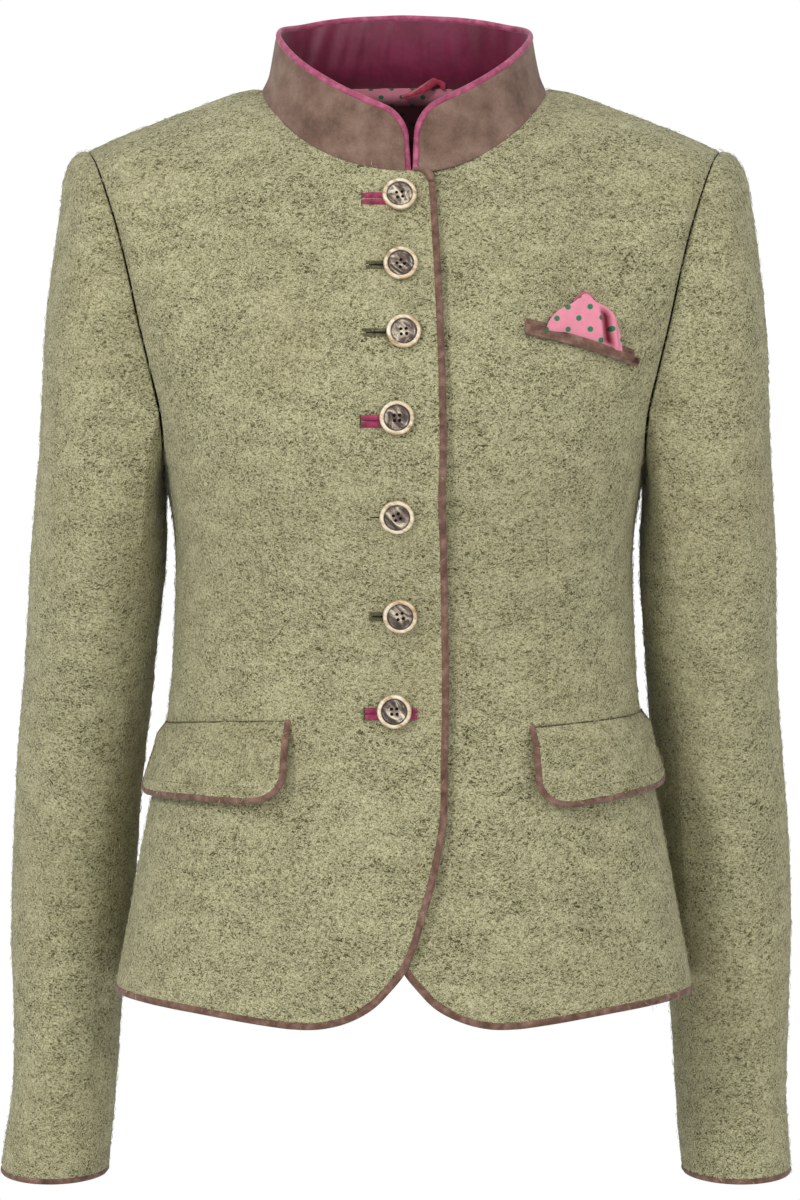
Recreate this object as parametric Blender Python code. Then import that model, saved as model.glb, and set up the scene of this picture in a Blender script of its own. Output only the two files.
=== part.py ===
"""A women's trachten blazer in boiled wool, closed and filled out as if worn.

Metres in the scene and millimetres in the code. +X is the wearer's left, -Y the front, +Z up.
The origin is midway between the two points where the shoulder seams meet the neckline.
"""

import bpy
import numpy as np
from mathutils.geometry import delaunay_2d_cdt

MM = 0.001

# Thickness and clearances
WOOL = 2.6
SUEDE = 1.4
SATIN = 1.0
SEAM = 0.2  # each piece stops this far from the seam line
GAP = 0.4
PIPING_RADIUS = 1.9
OVERLAP_LIFT = 2.1  # the closed fronts part by this much to either side of the body's surface

# Heights of the jacket
UNDERARM = -235.0
SLEEVE_FREE = -300.0  # below this the sleeve is a plain tube
CUFF = -682.5

# The closed body, level by level: half width, depth to the front, depth to the back, widest point
TORSO = {
    "z": (-600, -562, -520, -455, -392, -355, -317, -290, -255, -235, -215),
    "half_width": (187, 181, 173, 161, 148, 144.5, 143, 143, 144.5, 149, 155),
    "front": (124, 123, 121.5, 117, 112, 111.5, 114, 120, 131, 133, 133),
    "back": (126, 124, 120, 112, 101, 94, 91, 93, 100, 104, 107),
    "widest": (-26, -24, -20, -12, -6, -3, 0, 0, 0, 0, 0),
}
SQUARE_FRONT = 0.06
SQUARE_BACK = 0.01

# The front edge of the wearer's left front, level by level, measured across from the centre
FRONT_EDGE = {
    "z": (-549, -544, -536, -524, -508, -485, -459, -401, -282, -162, -66, -51, -20),
    "x": (20, 14.5, 7, 0, -5.5, -12, -18.5, -21.7, -21, -18.6, -17.5, -13.5, -13.5),
}
# The hem, by angle round the body from the centre front
HEM = {
    "angle": (6.0, 9.0, 12.7, 17.0, 21.0, 29.0, 40.0, 54.0, 90.0, 180.0),
    "z": (-549, -555.5, -560.5, -563.3, -563.4, -560.8, -556.8, -554, -554, -560),
}

# Neckline and shoulder
NECK_SIDE = 40.0  # the angle whose column ends where neckline and shoulder seam meet
NECK_HALF = 87.0
NECK_FRONT = (78.0, -51.0)  # depth and height at the centre front
NECK_BACK = (60.0, 3.0)
SHOULDER = {
    "way": (0, 0.15, 0.34, 0.57, 0.80, 1),
    "x": (87, 104, 126, 152, 177, 196),
    "y": (0, 0, 1, 2, 4, 5),
    "z": (0, -2.9, -9.8, -19.6, -29.3, -38),
}
SHOULDER_FAN = 0.45  # below 1 the columns spread towards the tip
# The way each column arrives at its top, by angle, and how strongly
ARRIVE = {
    "angle": (0, 20, 40, 65, 90, 115, 140, 160, 180),
    "x": (0, -0.04, -0.10, 0.02, 0.30, 0.02, -0.08, -0.03, 0),
    "y": (0.50, 0.62, 0.93, 0.99, 0.95, 0.99, 0.93, 0.60, 0.30),
    "z": (0.86, 0.77, 0.33, 0.12, 0.12, 0.12, 0.33, 0.80, 0.95),
    "pull": (0.60, 0.60, 0.75, 0.80, 0.80, 0.80, 0.75, 0.60, 0.55),
}
LEAVE_PULL = 0.80
# How much fuller the chest and the shoulder blades are towards the armhole
FULL_FRONT = {"angle": (20, 30, 45, 60, 75, 90), "y": (0, -2, -9, -20, -30, -32)}
FULL_BACK = {"angle": (20, 30, 45, 60, 75, 90), "y": (0, 1, 6, 14, 22, 24)}

# The armhole, as the angle that each level of the upper body reaches
ARMHOLE = {
    "level": (0, 0.04, 0.10, 0.18, 0.28, 0.40, 0.52, 0.64, 0.76, 0.88, 1),
    "front": (90, 78, 70, 67, 69.3, 74, 78.3, 83.5, 87.3, 88.8, 90),
    "back": (90, 81, 74, 70.5, 72.5, 76.3, 79.3, 84, 87.3, 88.8, 90),
}
LOWER_ROWS = (0, 0.025, 0.06, 0.10, 0.16, 0.24, 0.34, 0.46, 0.58, 0.72, 0.86)
NECK_COLUMNS_FRONT = 8
NECK_COLUMNS_BACK = 5
SHOULDER_COLUMNS = 6

# The sleeve's sections
SLEEVE = {
    "z": (-683, -617, -571, -511, -442, -392, -342, -300),
    "outer_left": (247, 244.5, 247.5, 246.5, 242.5, 238.5, 235, 232),
    "inner_left": (177.5, 172, 169, 165, 160, 156, 150.5, 147),
    "outer_right": (257, 249.5, 250, 250.5, 246, 241.5, 237, 233),
    "inner_right": (188.5, 183, 179, 173, 165.5, 160.5, 155, 149.5),
    "half_depth": (45, 46, 47.5, 49, 53, 56, 59, 60),
    "centre": (36, 44, 50, 49, 42, 32, 19, 8),
}
CAP_ROWS = (0, 0.05, 0.14, 0.28, 0.46, 0.68, 1)
SLEEVE_ROWS = 8
SEAM_FRONT = 3  # columns from the underarm to the sleeve's front seam
SEAM_BACK = 5
SLEEVE_GAP = 0.4
# The way the sleeve leaves the armhole, from the underarm to the shoulder tip
CAP_LEAVE = {
    "way": (0, 0.25, 0.5, 0.75, 1),
    "out": (0.02, 0.40, 0.86, 0.97, 1),
    "forward": (0, 0.02, 0.10, 0.10, 0),
    "up": (-1, -0.90, -0.45, -0.20, -0.06),
    "pull": (50, 60, 75, 70, 62),
}
# How far the sleeve head stands out at each row of the cap, most at the shoulder tip
HEAD_LEFT = (0, 3.4, 5.6, 5.4, 4.6, 2.4, 0)
HEAD_RIGHT = (0, 2.6, 3.8, 2.0, 1.3, 1.0, 0)

# The stand collar, by angle round the neckline
COLLAR = {
    "angle": (0, 8, 20, 30, 40, 90, 140, 160, 180),
    "height": (33, 37, 40, 38, 32, 31, 33, 38.5, 40.2),
    "lean": (5, 5, 6, 7, 7.4, 7.4, 8, 10, 10),
}
COLLAR_BEND = 0.6  # below 1 the collar turns in mostly near its seam
COLLAR_END = {"right": 0.2, "left": 9.5}
COLLAR_PIPING = 1.9
COLLAR_CORNER = 14.0

BUTTON_X = (-2.7, -2.1, -0.3, -4.3, -4.3, -2.4, -5.9)
BUTTON_Z = (-65.8, -106.3, -146.4, -197.5, -256.0, -316.8, -374.8)
BUTTON_OUT = 0.7  # from the front's surface to the back of the button
BUTTON_OVER_HOLE = 1.75  # the same over a bound buttonhole
BOUND_HOLES = (1, 4, 7)
BOUND_HOLE_X = (-25.0, -17.0, -8.5, 0.0, 8.0)
BOUND_HOLE_DROP = 1.7  # below the middle of its button

# Hip flaps: the seam and the lower edge, measured from the centre front
FLAP = {
    "across": (0, 0.03, 0.08, 0.16, 0.3, 0.5, 0.8, 0.94, 1),
    "seam": (-381.5, -381.6, -381.8, -382.3, -383.2, -385, -388.5, -390.3, -391),
    "lower": (-416, -422.5, -426.6, -428.6, -429, -429.3, -431, -431.6, -430.4),
}
FLAP_WAYS = (0, 0.03, 0.08, 0.16, 0.28, 0.42, 0.56, 0.7, 0.84, 0.94, 1)
FLAP_FROM = (35.0, 34.8)  # azimuth at the seam and at the lower edge
FLAP_TO = (80.0, 80.0)
FLAP_TURN = {"left": 3.3, "right": 0.0}  # further round the body, in degrees
FLAP_TILT = {"left": (-4.0, 10.5), "right": (0.0, 0.0)}  # height at the front end, rise to the far end
FLAP_WALL = 3.0
FLAP_CLEAR = 1.2
FLAP_STAND = 4.0  # how far the lower edge stands off the front

POCKET_LEFT = (72.0, -138.5)  # the pocket's upper corners
POCKET_RIGHT = (139.0, -158.5)
POCKET_SAG = 1.5
LIP_HEIGHT = 3.7
LIP_OUT = 2.5
SQUARE_OUT = 4.3
# The pocket square's upper outline, from its lower left corner over the peak to the right
SQUARE = {
    "way": (0, 0.12, 0.25, 0.4, 0.5, 0.6, 0.75, 0.9, 1),
    "x": (83.7, 86.7, 91.7, 100.2, 107.6, 113.7, 121.2, 126.7, 129.2),
    "z": (-145.5, -139.5, -134.5, -130.3, -125.3, -129.8, -134.0, -142.5, -153.0),
}

LOOP_FROM = (-1.0, 55.0, -4.0)  # the hanger loop, from the lining up to the collar
LOOP_TO = (19.5, 51.9, 6.0)

COLOURS = {
    "wool": (0.33, 0.31, 0.18, 1),
    "suede": (0.21, 0.13, 0.09, 1),
    "piping": (0.17, 0.10, 0.07, 1),
    "satin": (0.12, 0.015, 0.03, 1),
    "rose": (0.45, 0.10, 0.16, 1),
    "dotted": (0.72, 0.30, 0.36, 1),
    "horn": (0.42, 0.33, 0.23, 1),
}
ROUGHNESS = {"satin": 0.5, "horn": 0.35, "rose": 0.5}


def clear_scene():
    for thing in list(bpy.data.objects):
        bpy.data.objects.remove(thing, do_unlink=True)


def material(name):
    made = bpy.data.materials.get(name) or bpy.data.materials.new(name)
    made.use_nodes = True
    surface = made.node_tree.nodes["Principled BSDF"]
    surface.inputs["Base Color"].default_value = COLOURS[name]
    surface.inputs["Roughness"].default_value = ROUGHNESS.get(name, 0.9)
    return made


# Numbers along smooth curves


def smooth(at, knots, values):
    """A smooth curve through a short table, level outside it."""
    knots = np.asarray(knots, float)
    values = np.asarray(values, float)
    slopes = np.gradient(values, knots)
    at = np.clip(np.asarray(at, float), knots[0], knots[-1])
    left = np.clip(np.searchsorted(knots, at, side="right") - 1, 0, len(knots) - 2)
    width = knots[left + 1] - knots[left]
    t = (at - knots[left]) / width
    return (
        (2 * t**3 - 3 * t**2 + 1) * values[left]
        + (t**3 - 2 * t**2 + t) * width * slopes[left]
        + (3 * t**2 - 2 * t**3) * values[left + 1]
        + (t**3 - t**2) * width * slopes[left + 1]
    )


def step(at, start, end):
    t = np.clip((np.asarray(at, float) - start) / (end - start), 0, 1)
    return t * t * (3 - 2 * t)


def unit(vectors):
    return vectors / np.maximum(np.linalg.norm(vectors, axis=-1, keepdims=True), 1e-9)


def hermite(p0, t0, p1, t1, t):
    t = np.asarray(t, float)[..., None]
    return (
        (2 * t**3 - 3 * t**2 + 1) * p0
        + (t**3 - 2 * t**2 + t) * t0
        + (3 * t**2 - 2 * t**3) * p1
        + (t**3 - t**2) * t1
    )


# The wool's outer surface. Angles run from 0 at the centre front over 90 at the side to 180 at the back


def body(angle, z):
    """Below the armholes."""
    angle, z = np.broadcast_arrays(np.asarray(angle, float), np.asarray(z, float))
    half, front, back, widest = (
        smooth(z, TORSO["z"], TORSO[k]) for k in ("half_width", "front", "back", "widest")
    )
    turn = np.radians(angle)
    across = np.sin(turn)
    along = np.cos(turn)
    depth = np.where(along > 0, front + widest, back - widest)
    square = 1 + np.where(along > 0, SQUARE_FRONT, SQUARE_BACK) * np.sin(2 * turn) ** 2
    return np.stack([half * across * square, widest - depth * along * square, z], -1)


def neckline(angle):
    """The seam of the collar."""
    angle = np.asarray(angle, float)
    way = np.where(np.abs(angle) <= 90, angle, np.sign(angle) * (180 - np.abs(angle)))
    across = np.clip(np.sin(np.radians(way)) / np.sin(np.radians(NECK_SIDE)), -1, 1)
    along = np.sqrt(1 - across**2)
    front = np.abs(angle) <= 90
    y = np.where(front, -NECK_FRONT[0], NECK_BACK[0]) * along
    z = np.where(front, NECK_FRONT[1] * along**1.4, NECK_BACK[1] * along)
    return np.stack([NECK_HALF * across, y, z], -1)


def top_edge(angle):
    """Neckline and shoulder seam."""
    angle = np.asarray(angle, float)
    from_front = np.where(angle <= 90, angle, 180 - angle)
    way = np.clip((from_front - NECK_SIDE) / (90 - NECK_SIDE), 0, 1) ** SHOULDER_FAN
    ridge = np.stack([smooth(way, SHOULDER["way"], SHOULDER[k]) for k in "xyz"], -1)
    return np.where((from_front < NECK_SIDE)[..., None], neckline(angle), ridge)


def chest(angle, level):
    """Above the underarm, from level 0 there to level 1 at the neckline and shoulder."""
    angle, level = np.broadcast_arrays(np.asarray(angle, float), np.asarray(level, float))
    low = body(angle, UNDERARM)
    high = top_edge(angle)
    reach = np.linalg.norm(high - low, axis=-1, keepdims=True)
    leave = body(angle, UNDERARM + 1) - body(angle, UNDERARM - 1)
    arrive = np.stack([smooth(angle, ARRIVE["angle"], ARRIVE[k]) for k in "xyz"], -1)
    arrive[..., 1] *= np.sign(90.001 - angle)
    pull = smooth(angle, ARRIVE["angle"], ARRIVE["pull"])[..., None]
    made = hermite(low, unit(leave) * reach * LEAVE_PULL, high, unit(arrive) * reach * pull, level)
    fullness = np.where(
        angle <= 90,
        smooth(angle, FULL_FRONT["angle"], FULL_FRONT["y"]),
        smooth(180 - angle, FULL_BACK["angle"], FULL_BACK["y"]),
    )
    made[..., 1] += fullness * 6.75 * level**2 * (1 - level)
    return made


def edge_angle(z):
    """The front edge's angle at a height."""
    x = smooth(z, FRONT_EDGE["z"], FRONT_EDGE["x"])
    return np.degrees(np.arcsin(x / smooth(z, TORSO["z"], TORSO["half_width"])))


def edge_angle_above(level):
    """The same in the upper body, where the neckline's own width counts."""
    low = edge_angle(UNDERARM)
    high = np.degrees(np.arcsin(FRONT_EDGE["x"][-1] * np.sin(np.radians(NECK_SIDE)) / NECK_HALF))
    return low + (high - low) * np.asarray(level, float) ** 2


def front_grid():
    """The wearer's left front: rows from hem to top, columns from the front edge to the side."""
    top_start = float(edge_angle_above(1.0))
    corner = (NECK_SIDE - top_start) / (90 - top_start)
    neck = np.linspace(0, corner, NECK_COLUMNS_FRONT + 1)
    across = np.concatenate([neck, np.linspace(corner, 1, SHOULDER_COLUMNS + 1)[1:]])
    hem = np.full(len(across), HEM["z"][0], float)
    for _ in range(20):
        start = edge_angle(hem)
        hem = smooth(start + (90 - start) * across, HEM["angle"], HEM["z"])
    rows = []
    for r in LOWER_ROWS:
        z = hem + (UNDERARM - hem) * r
        start = edge_angle(z)
        rows.append(body(start + (90 - start) * across, z))
    for level, end in zip(ARMHOLE["level"], ARMHOLE["front"]):
        start = edge_angle_above(level)
        rows.append(chest(start + (end - start) * across, level))
    return np.array(rows)


def back_grid():
    """The wearer's left back: columns from the centre back to the side."""
    corner = NECK_SIDE / 90
    neck = np.linspace(0, corner, NECK_COLUMNS_BACK + 1)
    across = np.concatenate([neck, np.linspace(corner, 1, SHOULDER_COLUMNS + 1)[1:]])
    hem = smooth(180 - 90 * across, HEM["angle"], HEM["z"])
    rows = []
    for r in LOWER_ROWS:
        rows.append(body(180 - 90 * across, hem + (UNDERARM - hem) * r))
    for level, end in zip(ARMHOLE["level"], ARMHOLE["back"]):
        rows.append(chest(180 - end * across, level))
    return np.array(rows)


def mirrored(grid):
    return grid * np.array([-1, 1, 1])


def normals_of(grid, closed=False):
    """Unit normals of a grid, pointing the way that rows cross columns."""
    if closed:
        across = np.roll(grid, -1, 1) - np.roll(grid, 1, 1)
    else:
        across = np.gradient(grid, axis=1)
    return unit(np.cross(across, np.gradient(grid, axis=0)))


def outward(grid, closed=False):
    """Normals turned away from the body's middle line."""
    found = normals_of(grid, closed)
    middle = grid.reshape(-1, 3).mean(0) * np.array([0, 0, 1]) - np.array([0, 0, 80])
    if (found * (grid - middle)).sum() < 0:
        found = -found
    return found


def weld_normals(grids, normals):
    """Pieces that meet at a seam share their normals there."""
    shared = {}
    for grid, found in zip(grids, normals):
        for point, normal in zip(grid.reshape(-1, 3), found.reshape(-1, 3)):
            key = tuple(np.round(point, 2) + 0.0)
            shared[key] = shared.get(key, 0) + normal
    welded = []
    for grid in grids:
        rows = [shared[tuple(np.round(p, 2) + 0.0)] for p in grid.reshape(-1, 3)]
        welded.append(unit(np.array(rows)).reshape(grid.shape))
    return welded


def stop_short(grid, sides, by=SEAM):
    """Draws the named sides of a grid back from the seam."""
    out = grid.copy()
    if "first" in sides:
        out[:, 0] += by * unit(grid[:, 1] - grid[:, 0])
    if "last" in sides:
        out[:, -1] += by * unit(grid[:, -2] - grid[:, -1])
    if "low" in sides:
        out[0] += by * unit(grid[1] - grid[0])
    if "high" in sides:
        out[-1] += by * unit(grid[-2] - grid[-1])
    return out


# Solids


def add_object(name, points, faces, colour):
    mesh = bpy.data.meshes.new(name)
    mesh.from_pydata((np.asarray(points) * MM).tolist(), [], faces)
    mesh.materials.append(material(colour))
    mesh.shade_smooth()
    mesh.set_sharp_from_angle(angle=0.7)
    made = bpy.data.objects.new(name, mesh)
    bpy.context.scene.collection.objects.link(made)
    return made


def shell(name, outer, normals, wall, colour, closed=False):
    """One closed wall whose outer face is the grid."""
    rows, columns = outer.shape[:2]
    inner = outer - wall * normals
    points = np.concatenate([outer.reshape(-1, 3), inner.reshape(-1, 3)])
    size = rows * columns
    faces = []

    def at(i, j, layer):
        return layer * size + i * columns + j % columns

    spans = columns if closed else columns - 1
    for i in range(rows - 1):
        for j in range(spans):
            a, b, c, d = at(i, j, 0), at(i, j + 1, 0), at(i + 1, j + 1, 0), at(i + 1, j, 0)
            first = np.linalg.norm(points[a] - points[c])
            second = np.linalg.norm(points[b] - points[d])
            cut = ((a, b, c), (a, c, d)) if first <= second + 0.01 else ((a, b, d), (b, c, d))
            for triangle in cut:
                faces.append(list(triangle))
                faces.append([k + size for k in reversed(triangle)])
    for j in range(spans):
        faces.append([at(0, j + 1, 0), at(0, j, 0), at(0, j, 1), at(0, j + 1, 1)])
        last = rows - 1
        faces.append([at(last, j, 0), at(last, j + 1, 0), at(last, j + 1, 1), at(last, j, 1)])
    if not closed:
        last = columns - 1
        for i in range(rows - 1):
            faces.append([at(i, 0, 0), at(i + 1, 0, 0), at(i + 1, 0, 1), at(i, 0, 1)])
            faces.append([at(i + 1, last, 0), at(i, last, 0), at(i, last, 1), at(i + 1, last, 1)])
    first = outer[1, 0] - outer[0, 0]
    side = outer[0, 1] - outer[0, 0]
    if np.dot(np.cross(side, first), normals[0, 0]) < 0:
        faces = [list(reversed(f)) for f in faces]
    return add_object(name, points, faces, colour)


def piping(name, line, colour, radius=PIPING_RADIUS, closed=False):
    """A cord of bias-cut trim along a line."""
    curve = bpy.data.curves.new(name, "CURVE")
    curve.dimensions = "3D"
    curve.bevel_depth = radius * MM
    curve.bevel_resolution = 1
    curve.use_fill_caps = not closed
    spline = curve.splines.new("POLY")
    spline.points.add(len(line) - 1)
    for point, place in zip(spline.points, np.asarray(line) * MM):
        point.co = (*place, 1)
    spline.use_cyclic_u = closed
    curve.materials.append(material(colour))
    made = bpy.data.objects.new(name, curve)
    bpy.context.scene.collection.objects.link(made)
    return made


def along_edge(edge, inside, normals, wall=WOOL, out=None):
    """The line of a piping just outside an edge, level with the middle of the wall."""
    away = edge - inside
    away -= (away * normals).sum(-1, keepdims=True) * normals
    along = unit(np.gradient(edge, axis=0))
    away -= (away * along).sum(-1, keepdims=True) * along
    reach = PIPING_RADIUS + GAP if out is None else out
    return edge + unit(away) * reach - normals * wall / 2


# The garment


def lifted(grid, normals, by):
    near = 1 - step(np.abs(grid[..., 0]), 26, 62)
    return grid + normals * (by * near)[..., None]


def make_body():
    left_front = front_grid()
    left_back = back_grid()
    grids = [left_front, mirrored(left_front), left_back, mirrored(left_back)]
    normals = weld_normals(grids, [outward(g) for g in grids])
    names = ("left_front", "right_front", "left_back", "right_back")
    lifts = (-OVERLAP_LIFT, OVERLAP_LIFT, 0, 0)
    panels = {}
    for name, grid, found, lift in zip(names, grids, normals, lifts):
        if lift:
            grid = lifted(grid, found, lift)
            sides = ("last", "high")
        else:
            sides = ("first", "last", "high")
        grid = stop_short(grid, sides)
        shell(name, grid, found, WOOL, "wool")
        panels[name] = (grid, found)
    return panels, left_front, left_back, normals[2]


def front_piping(name, grid, normals):
    edge = np.concatenate([grid[::-1, 0], grid[0, 1:]])
    inside = np.concatenate([grid[::-1, 1], grid[1, 1:]])
    corner = len(grid) - 1
    inside[corner] = grid[1, 1]
    found = np.concatenate([normals[::-1, 0], normals[0, 1:]])
    line = along_edge(edge, inside, found)
    line[-1] += (line[-2] - line[-1]) * 0.02
    return piping(name, line, "piping")


def make_trim(panels):
    for name in ("right_front", "left_front"):
        front_piping(f"{name}_piping", *panels[name])
    left, left_normals = panels["left_back"]
    right, right_normals = panels["right_back"]
    edge = np.concatenate([left[0, ::-1], right[0, 1:]])
    inside = np.concatenate([left[1, ::-1], right[1, 1:]])
    found = np.concatenate([left_normals[0, ::-1], right_normals[0, 1:]])
    line = along_edge(edge, inside, found)
    line[0] += (line[1] - line[0]) * 0.02
    line[-1] += (line[-2] - line[-1]) * 0.02
    piping("back_hem_piping", line, "piping")


def ring(turn, z, side):
    """The sleeve's section at a height, turn 0 outside, -90 in front and 180 next to the body."""
    turn, z = np.broadcast_arrays(np.asarray(turn, float), np.asarray(z, float))
    outer, inner, depth, centre = (
        smooth(z, SLEEVE["z"], SLEEVE[k])
        for k in (f"outer_{side}", f"inner_{side}", "half_depth", "centre")
    )
    way = np.radians(turn)
    x = (outer + inner) / 2 + (outer - inner) / 2 * np.cos(way)
    return np.stack([x, centre + depth * np.sin(way), z], -1)


def sleeve_grid(left_front, left_back, side):
    """A sleeve on the +X side: columns round from the underarm over the front and the shoulder tip."""
    low = len(LOWER_ROWS)
    front = left_front[low:, -1]
    back = left_back[low:, -1][::-1]
    loop = np.concatenate([front, back[1:-1]])
    ways = []
    for line in (front, back[::-1]):
        way = np.concatenate([[0], np.cumsum(np.linalg.norm(np.diff(line, axis=0), axis=1))])
        ways.append(way / way[-1])
    way = np.concatenate([ways[0], ways[1][::-1][1:-1]])
    turn = np.concatenate([-180 + 180 * ways[0], (180 - 180 * ways[1][::-1])[1:-1]])
    forward = np.concatenate([-np.ones(len(front)), np.ones(len(back) - 2)])
    leave = np.stack(
        [
            smooth(way, CAP_LEAVE["way"], CAP_LEAVE["out"]),
            forward * smooth(way, CAP_LEAVE["way"], CAP_LEAVE["forward"]),
            smooth(way, CAP_LEAVE["way"], CAP_LEAVE["up"]),
        ],
        -1,
    )
    leave = unit(leave)
    start = loop + leave * GAP + np.array([GAP, 0, 0])
    free = ring(turn, SLEEVE_FREE, side)
    down = unit(ring(turn, SLEEVE_FREE - 2, side) - free)
    drop = np.linalg.norm(start - free, axis=-1, keepdims=True)
    pull = smooth(way, CAP_LEAVE["way"], CAP_LEAVE["pull"])[:, None]
    heads = HEAD_LEFT if side == "left" else HEAD_RIGHT
    rows = []
    for t, head in zip(CAP_ROWS, heads):
        row = hermite(start, leave * pull, free, down * drop, np.full(len(loop), t))
        rows.append(row + leave * head * (way**2)[:, None])
    for t in np.linspace(0, 1, SLEEVE_ROWS + 1)[1:]:
        rows.append(ring(turn, SLEEVE_FREE + (CUFF - SLEEVE_FREE) * t, side))
    return np.array(rows)


def sleeve_normals(grid):
    found = normals_of(grid, closed=True)
    away = grid[-1] - grid[-1].mean(0)
    if (found[-1] * away).sum() < 0:
        found = -found
    return found


def make_sleeves(left_front, left_back):
    for side, flip in (("left", np.array([1, 1, 1])), ("right", np.array([-1, 1, 1]))):
        whole = sleeve_grid(left_front, left_back, side)
        found = sleeve_normals(whole)
        count = whole.shape[1]
        upper = list(range(SEAM_FRONT, count - SEAM_BACK + 1))
        under = [k % count for k in range(count - SEAM_BACK, count + SEAM_FRONT + 1)]
        for part, columns in (("upper", upper), ("under", under)):
            grid = stop_short(whole[:, columns], ("first", "last"), SLEEVE_GAP)
            shell(f"{part}_sleeve_{side}", grid * flip, found[:, columns] * flip, WOOL, "wool")
        away = unit(whole[-1] - whole[-2])
        line = whole[-1] + away * (PIPING_RADIUS + GAP) - found[-1] * WOOL / 2
        piping(f"cuff_piping_{side}", line * flip, "piping", closed=True)


def collar_angles():
    """Even steps round the neckline, closer at the rounded front corners."""
    right = np.degrees(np.arcsin(COLLAR_END["right"] * np.sin(np.radians(NECK_SIDE)) / NECK_HALF))
    left = np.degrees(np.arcsin(COLLAR_END["left"] * np.sin(np.radians(NECK_SIDE)) / NECK_HALF))
    start = float(left)
    end = 360 + float(right)
    inset = COLLAR_CORNER * 0.45
    bend = [inset * (1 - np.cos(np.radians(k))) for k in (0, 30, 55, 75, 90)]
    middle = np.linspace(start + inset, NECK_SIDE, 5)[1:]
    back = np.linspace(180 - NECK_SIDE, 180 + NECK_SIDE, 11)
    far = np.linspace(360 - NECK_SIDE, end - inset, 5)[:-1]
    return np.concatenate(
        [[start + b for b in bend], middle, back[1:], far[1:], [end - b for b in bend[::-1]]]
    )


def collar_grid(out=0.0):
    angles = collar_angles()
    signed = np.where(angles > 180, angles - 360, angles)
    foot = neckline(signed)
    size = np.abs(signed)
    height = smooth(size, COLLAR["angle"], COLLAR["height"])
    lean = smooth(size, COLLAR["angle"], COLLAR["lean"])
    ends = np.abs(foot[:, 0] - np.where(angles > 180, foot[-1, 0], foot[0, 0]))
    near = np.where((size < 40) & (ends < COLLAR_CORNER), 1 - ends / COLLAR_CORNER, 0)
    height = height - 17 * (1 - np.sqrt(np.clip(1 - near**2, 0, 1)))
    middle = foot * np.array([1, 1, 0])
    inward = -unit(middle * np.array([1, 1.25, 0]))
    rows = []
    for t in (0, 0.2, 0.55, 1):
        turned = foot + inward * (lean * t**COLLAR_BEND)[:, None]
        rows.append(turned + np.array([0, 0, 1]) * (height * t)[:, None])
    return np.array(rows)


def make_collar():
    grid = collar_grid()
    found = outward(grid)
    grid = stop_short(grid, ("low",), 0.5)
    shell("collar", grid, found, SUEDE, "suede")
    facing = grid - found * (SUEDE + 0.5)
    shell("collar_facing", facing, found, SATIN, "satin")
    edge = np.concatenate([grid[:, 0], grid[-1, 1:-1], grid[::-1, -1]])
    inside = np.concatenate([grid[:, 1], grid[-2, 1:-1], grid[::-1, -2]])
    inside[3] = grid[-2, 1]
    inside[-4] = grid[-2, -2]
    normals = np.concatenate([found[:, 0], found[-1, 1:-1], found[::-1, -1]])
    line = along_edge(edge, inside, normals, wall=SUEDE + 0.5 + SATIN, out=COLLAR_PIPING + 0.6)
    piping("collar_piping", line, "rose", radius=COLLAR_PIPING)


def button_mesh():
    """A four-hole button lying on the XY plane, its face to +Z."""
    sides = 20
    profile = ((6.6, 1.5), (7.4, 2.1), (8.6, 3.0), (9.6, 3.0), (10.4, 2.2), (10.3, 0.9), (8.8, 0))
    holes = []
    for x in (-1.9, 1.9):
        for y in (-1.9, 1.9):
            turn = np.radians(np.arange(6) * 60)
            holes.append(np.stack([x + 0.95 * np.cos(turn), y + 0.95 * np.sin(turn)], -1))
    turn = np.radians(np.arange(sides) * 360 / sides)
    around = np.stack([np.cos(turn), np.sin(turn)], -1)
    points = []
    faces = []
    rings = []
    for radius, height in profile:
        rings.append(list(range(len(points), len(points) + sides)))
        points.extend((radius * c, radius * s, height) for c, s in around)
    for inner, outer in zip(rings[:-1], rings[1:]):
        for k in range(sides):
            n = (k + 1) % sides
            faces.append([inner[k], outer[k], outer[n], inner[n]])
    hole_rings = []
    for height in (profile[0][1], profile[-1][1]):
        level = []
        for hole in holes:
            level.append(list(range(len(points), len(points) + 6)))
            points.extend((x, y, height) for x, y in hole)
        hole_rings.append(level)
    for top, bottom in zip(*hole_rings):
        for k in range(6):
            n = (k + 1) % 6
            faces.append([top[k], top[n], bottom[n], bottom[k]])
    for border, level, up in ((rings[0], hole_rings[0], True), (rings[-1], hole_rings[1], False)):
        loops = [border] + level
        flat = [k for loop in loops for k in loop]
        places = [points[k][:2] for k in flat]
        edges = []
        start = 0
        for loop in loops:
            edges += [(start + k, start + (k + 1) % len(loop)) for k in range(len(loop))]
            start += len(loop)
        _, _, triangles, came_from, _, _ = delaunay_2d_cdt(places, edges, [], 1, 1e-6)
        for triangle in triangles:
            ids = [flat[came_from[k][0]] for k in triangle]
            middle = np.mean([points[k][:2] for k in ids], 0)
            if any(np.linalg.norm(middle - hole.mean(0)) < 0.9 for hole in holes):
                continue
            faces.append(ids if up else ids[::-1])
    return np.array(points), faces


def bilinear(grid, row, column):
    i = int(np.clip(np.floor(row), 0, grid.shape[0] - 2))
    j = int(np.clip(np.floor(column), 0, grid.shape[1] - 2))
    s, t = row - i, column - j
    low = grid[i, j] * (1 - t) + grid[i, j + 1] * t
    high = grid[i + 1, j] * (1 - t) + grid[i + 1, j + 1] * t
    return low * (1 - s) + high * s


def azimuth(point):
    """Degrees round the body from the centre front, the same to either side."""
    return np.degrees(np.arctan2(abs(point[0]), -point[1]))


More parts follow.
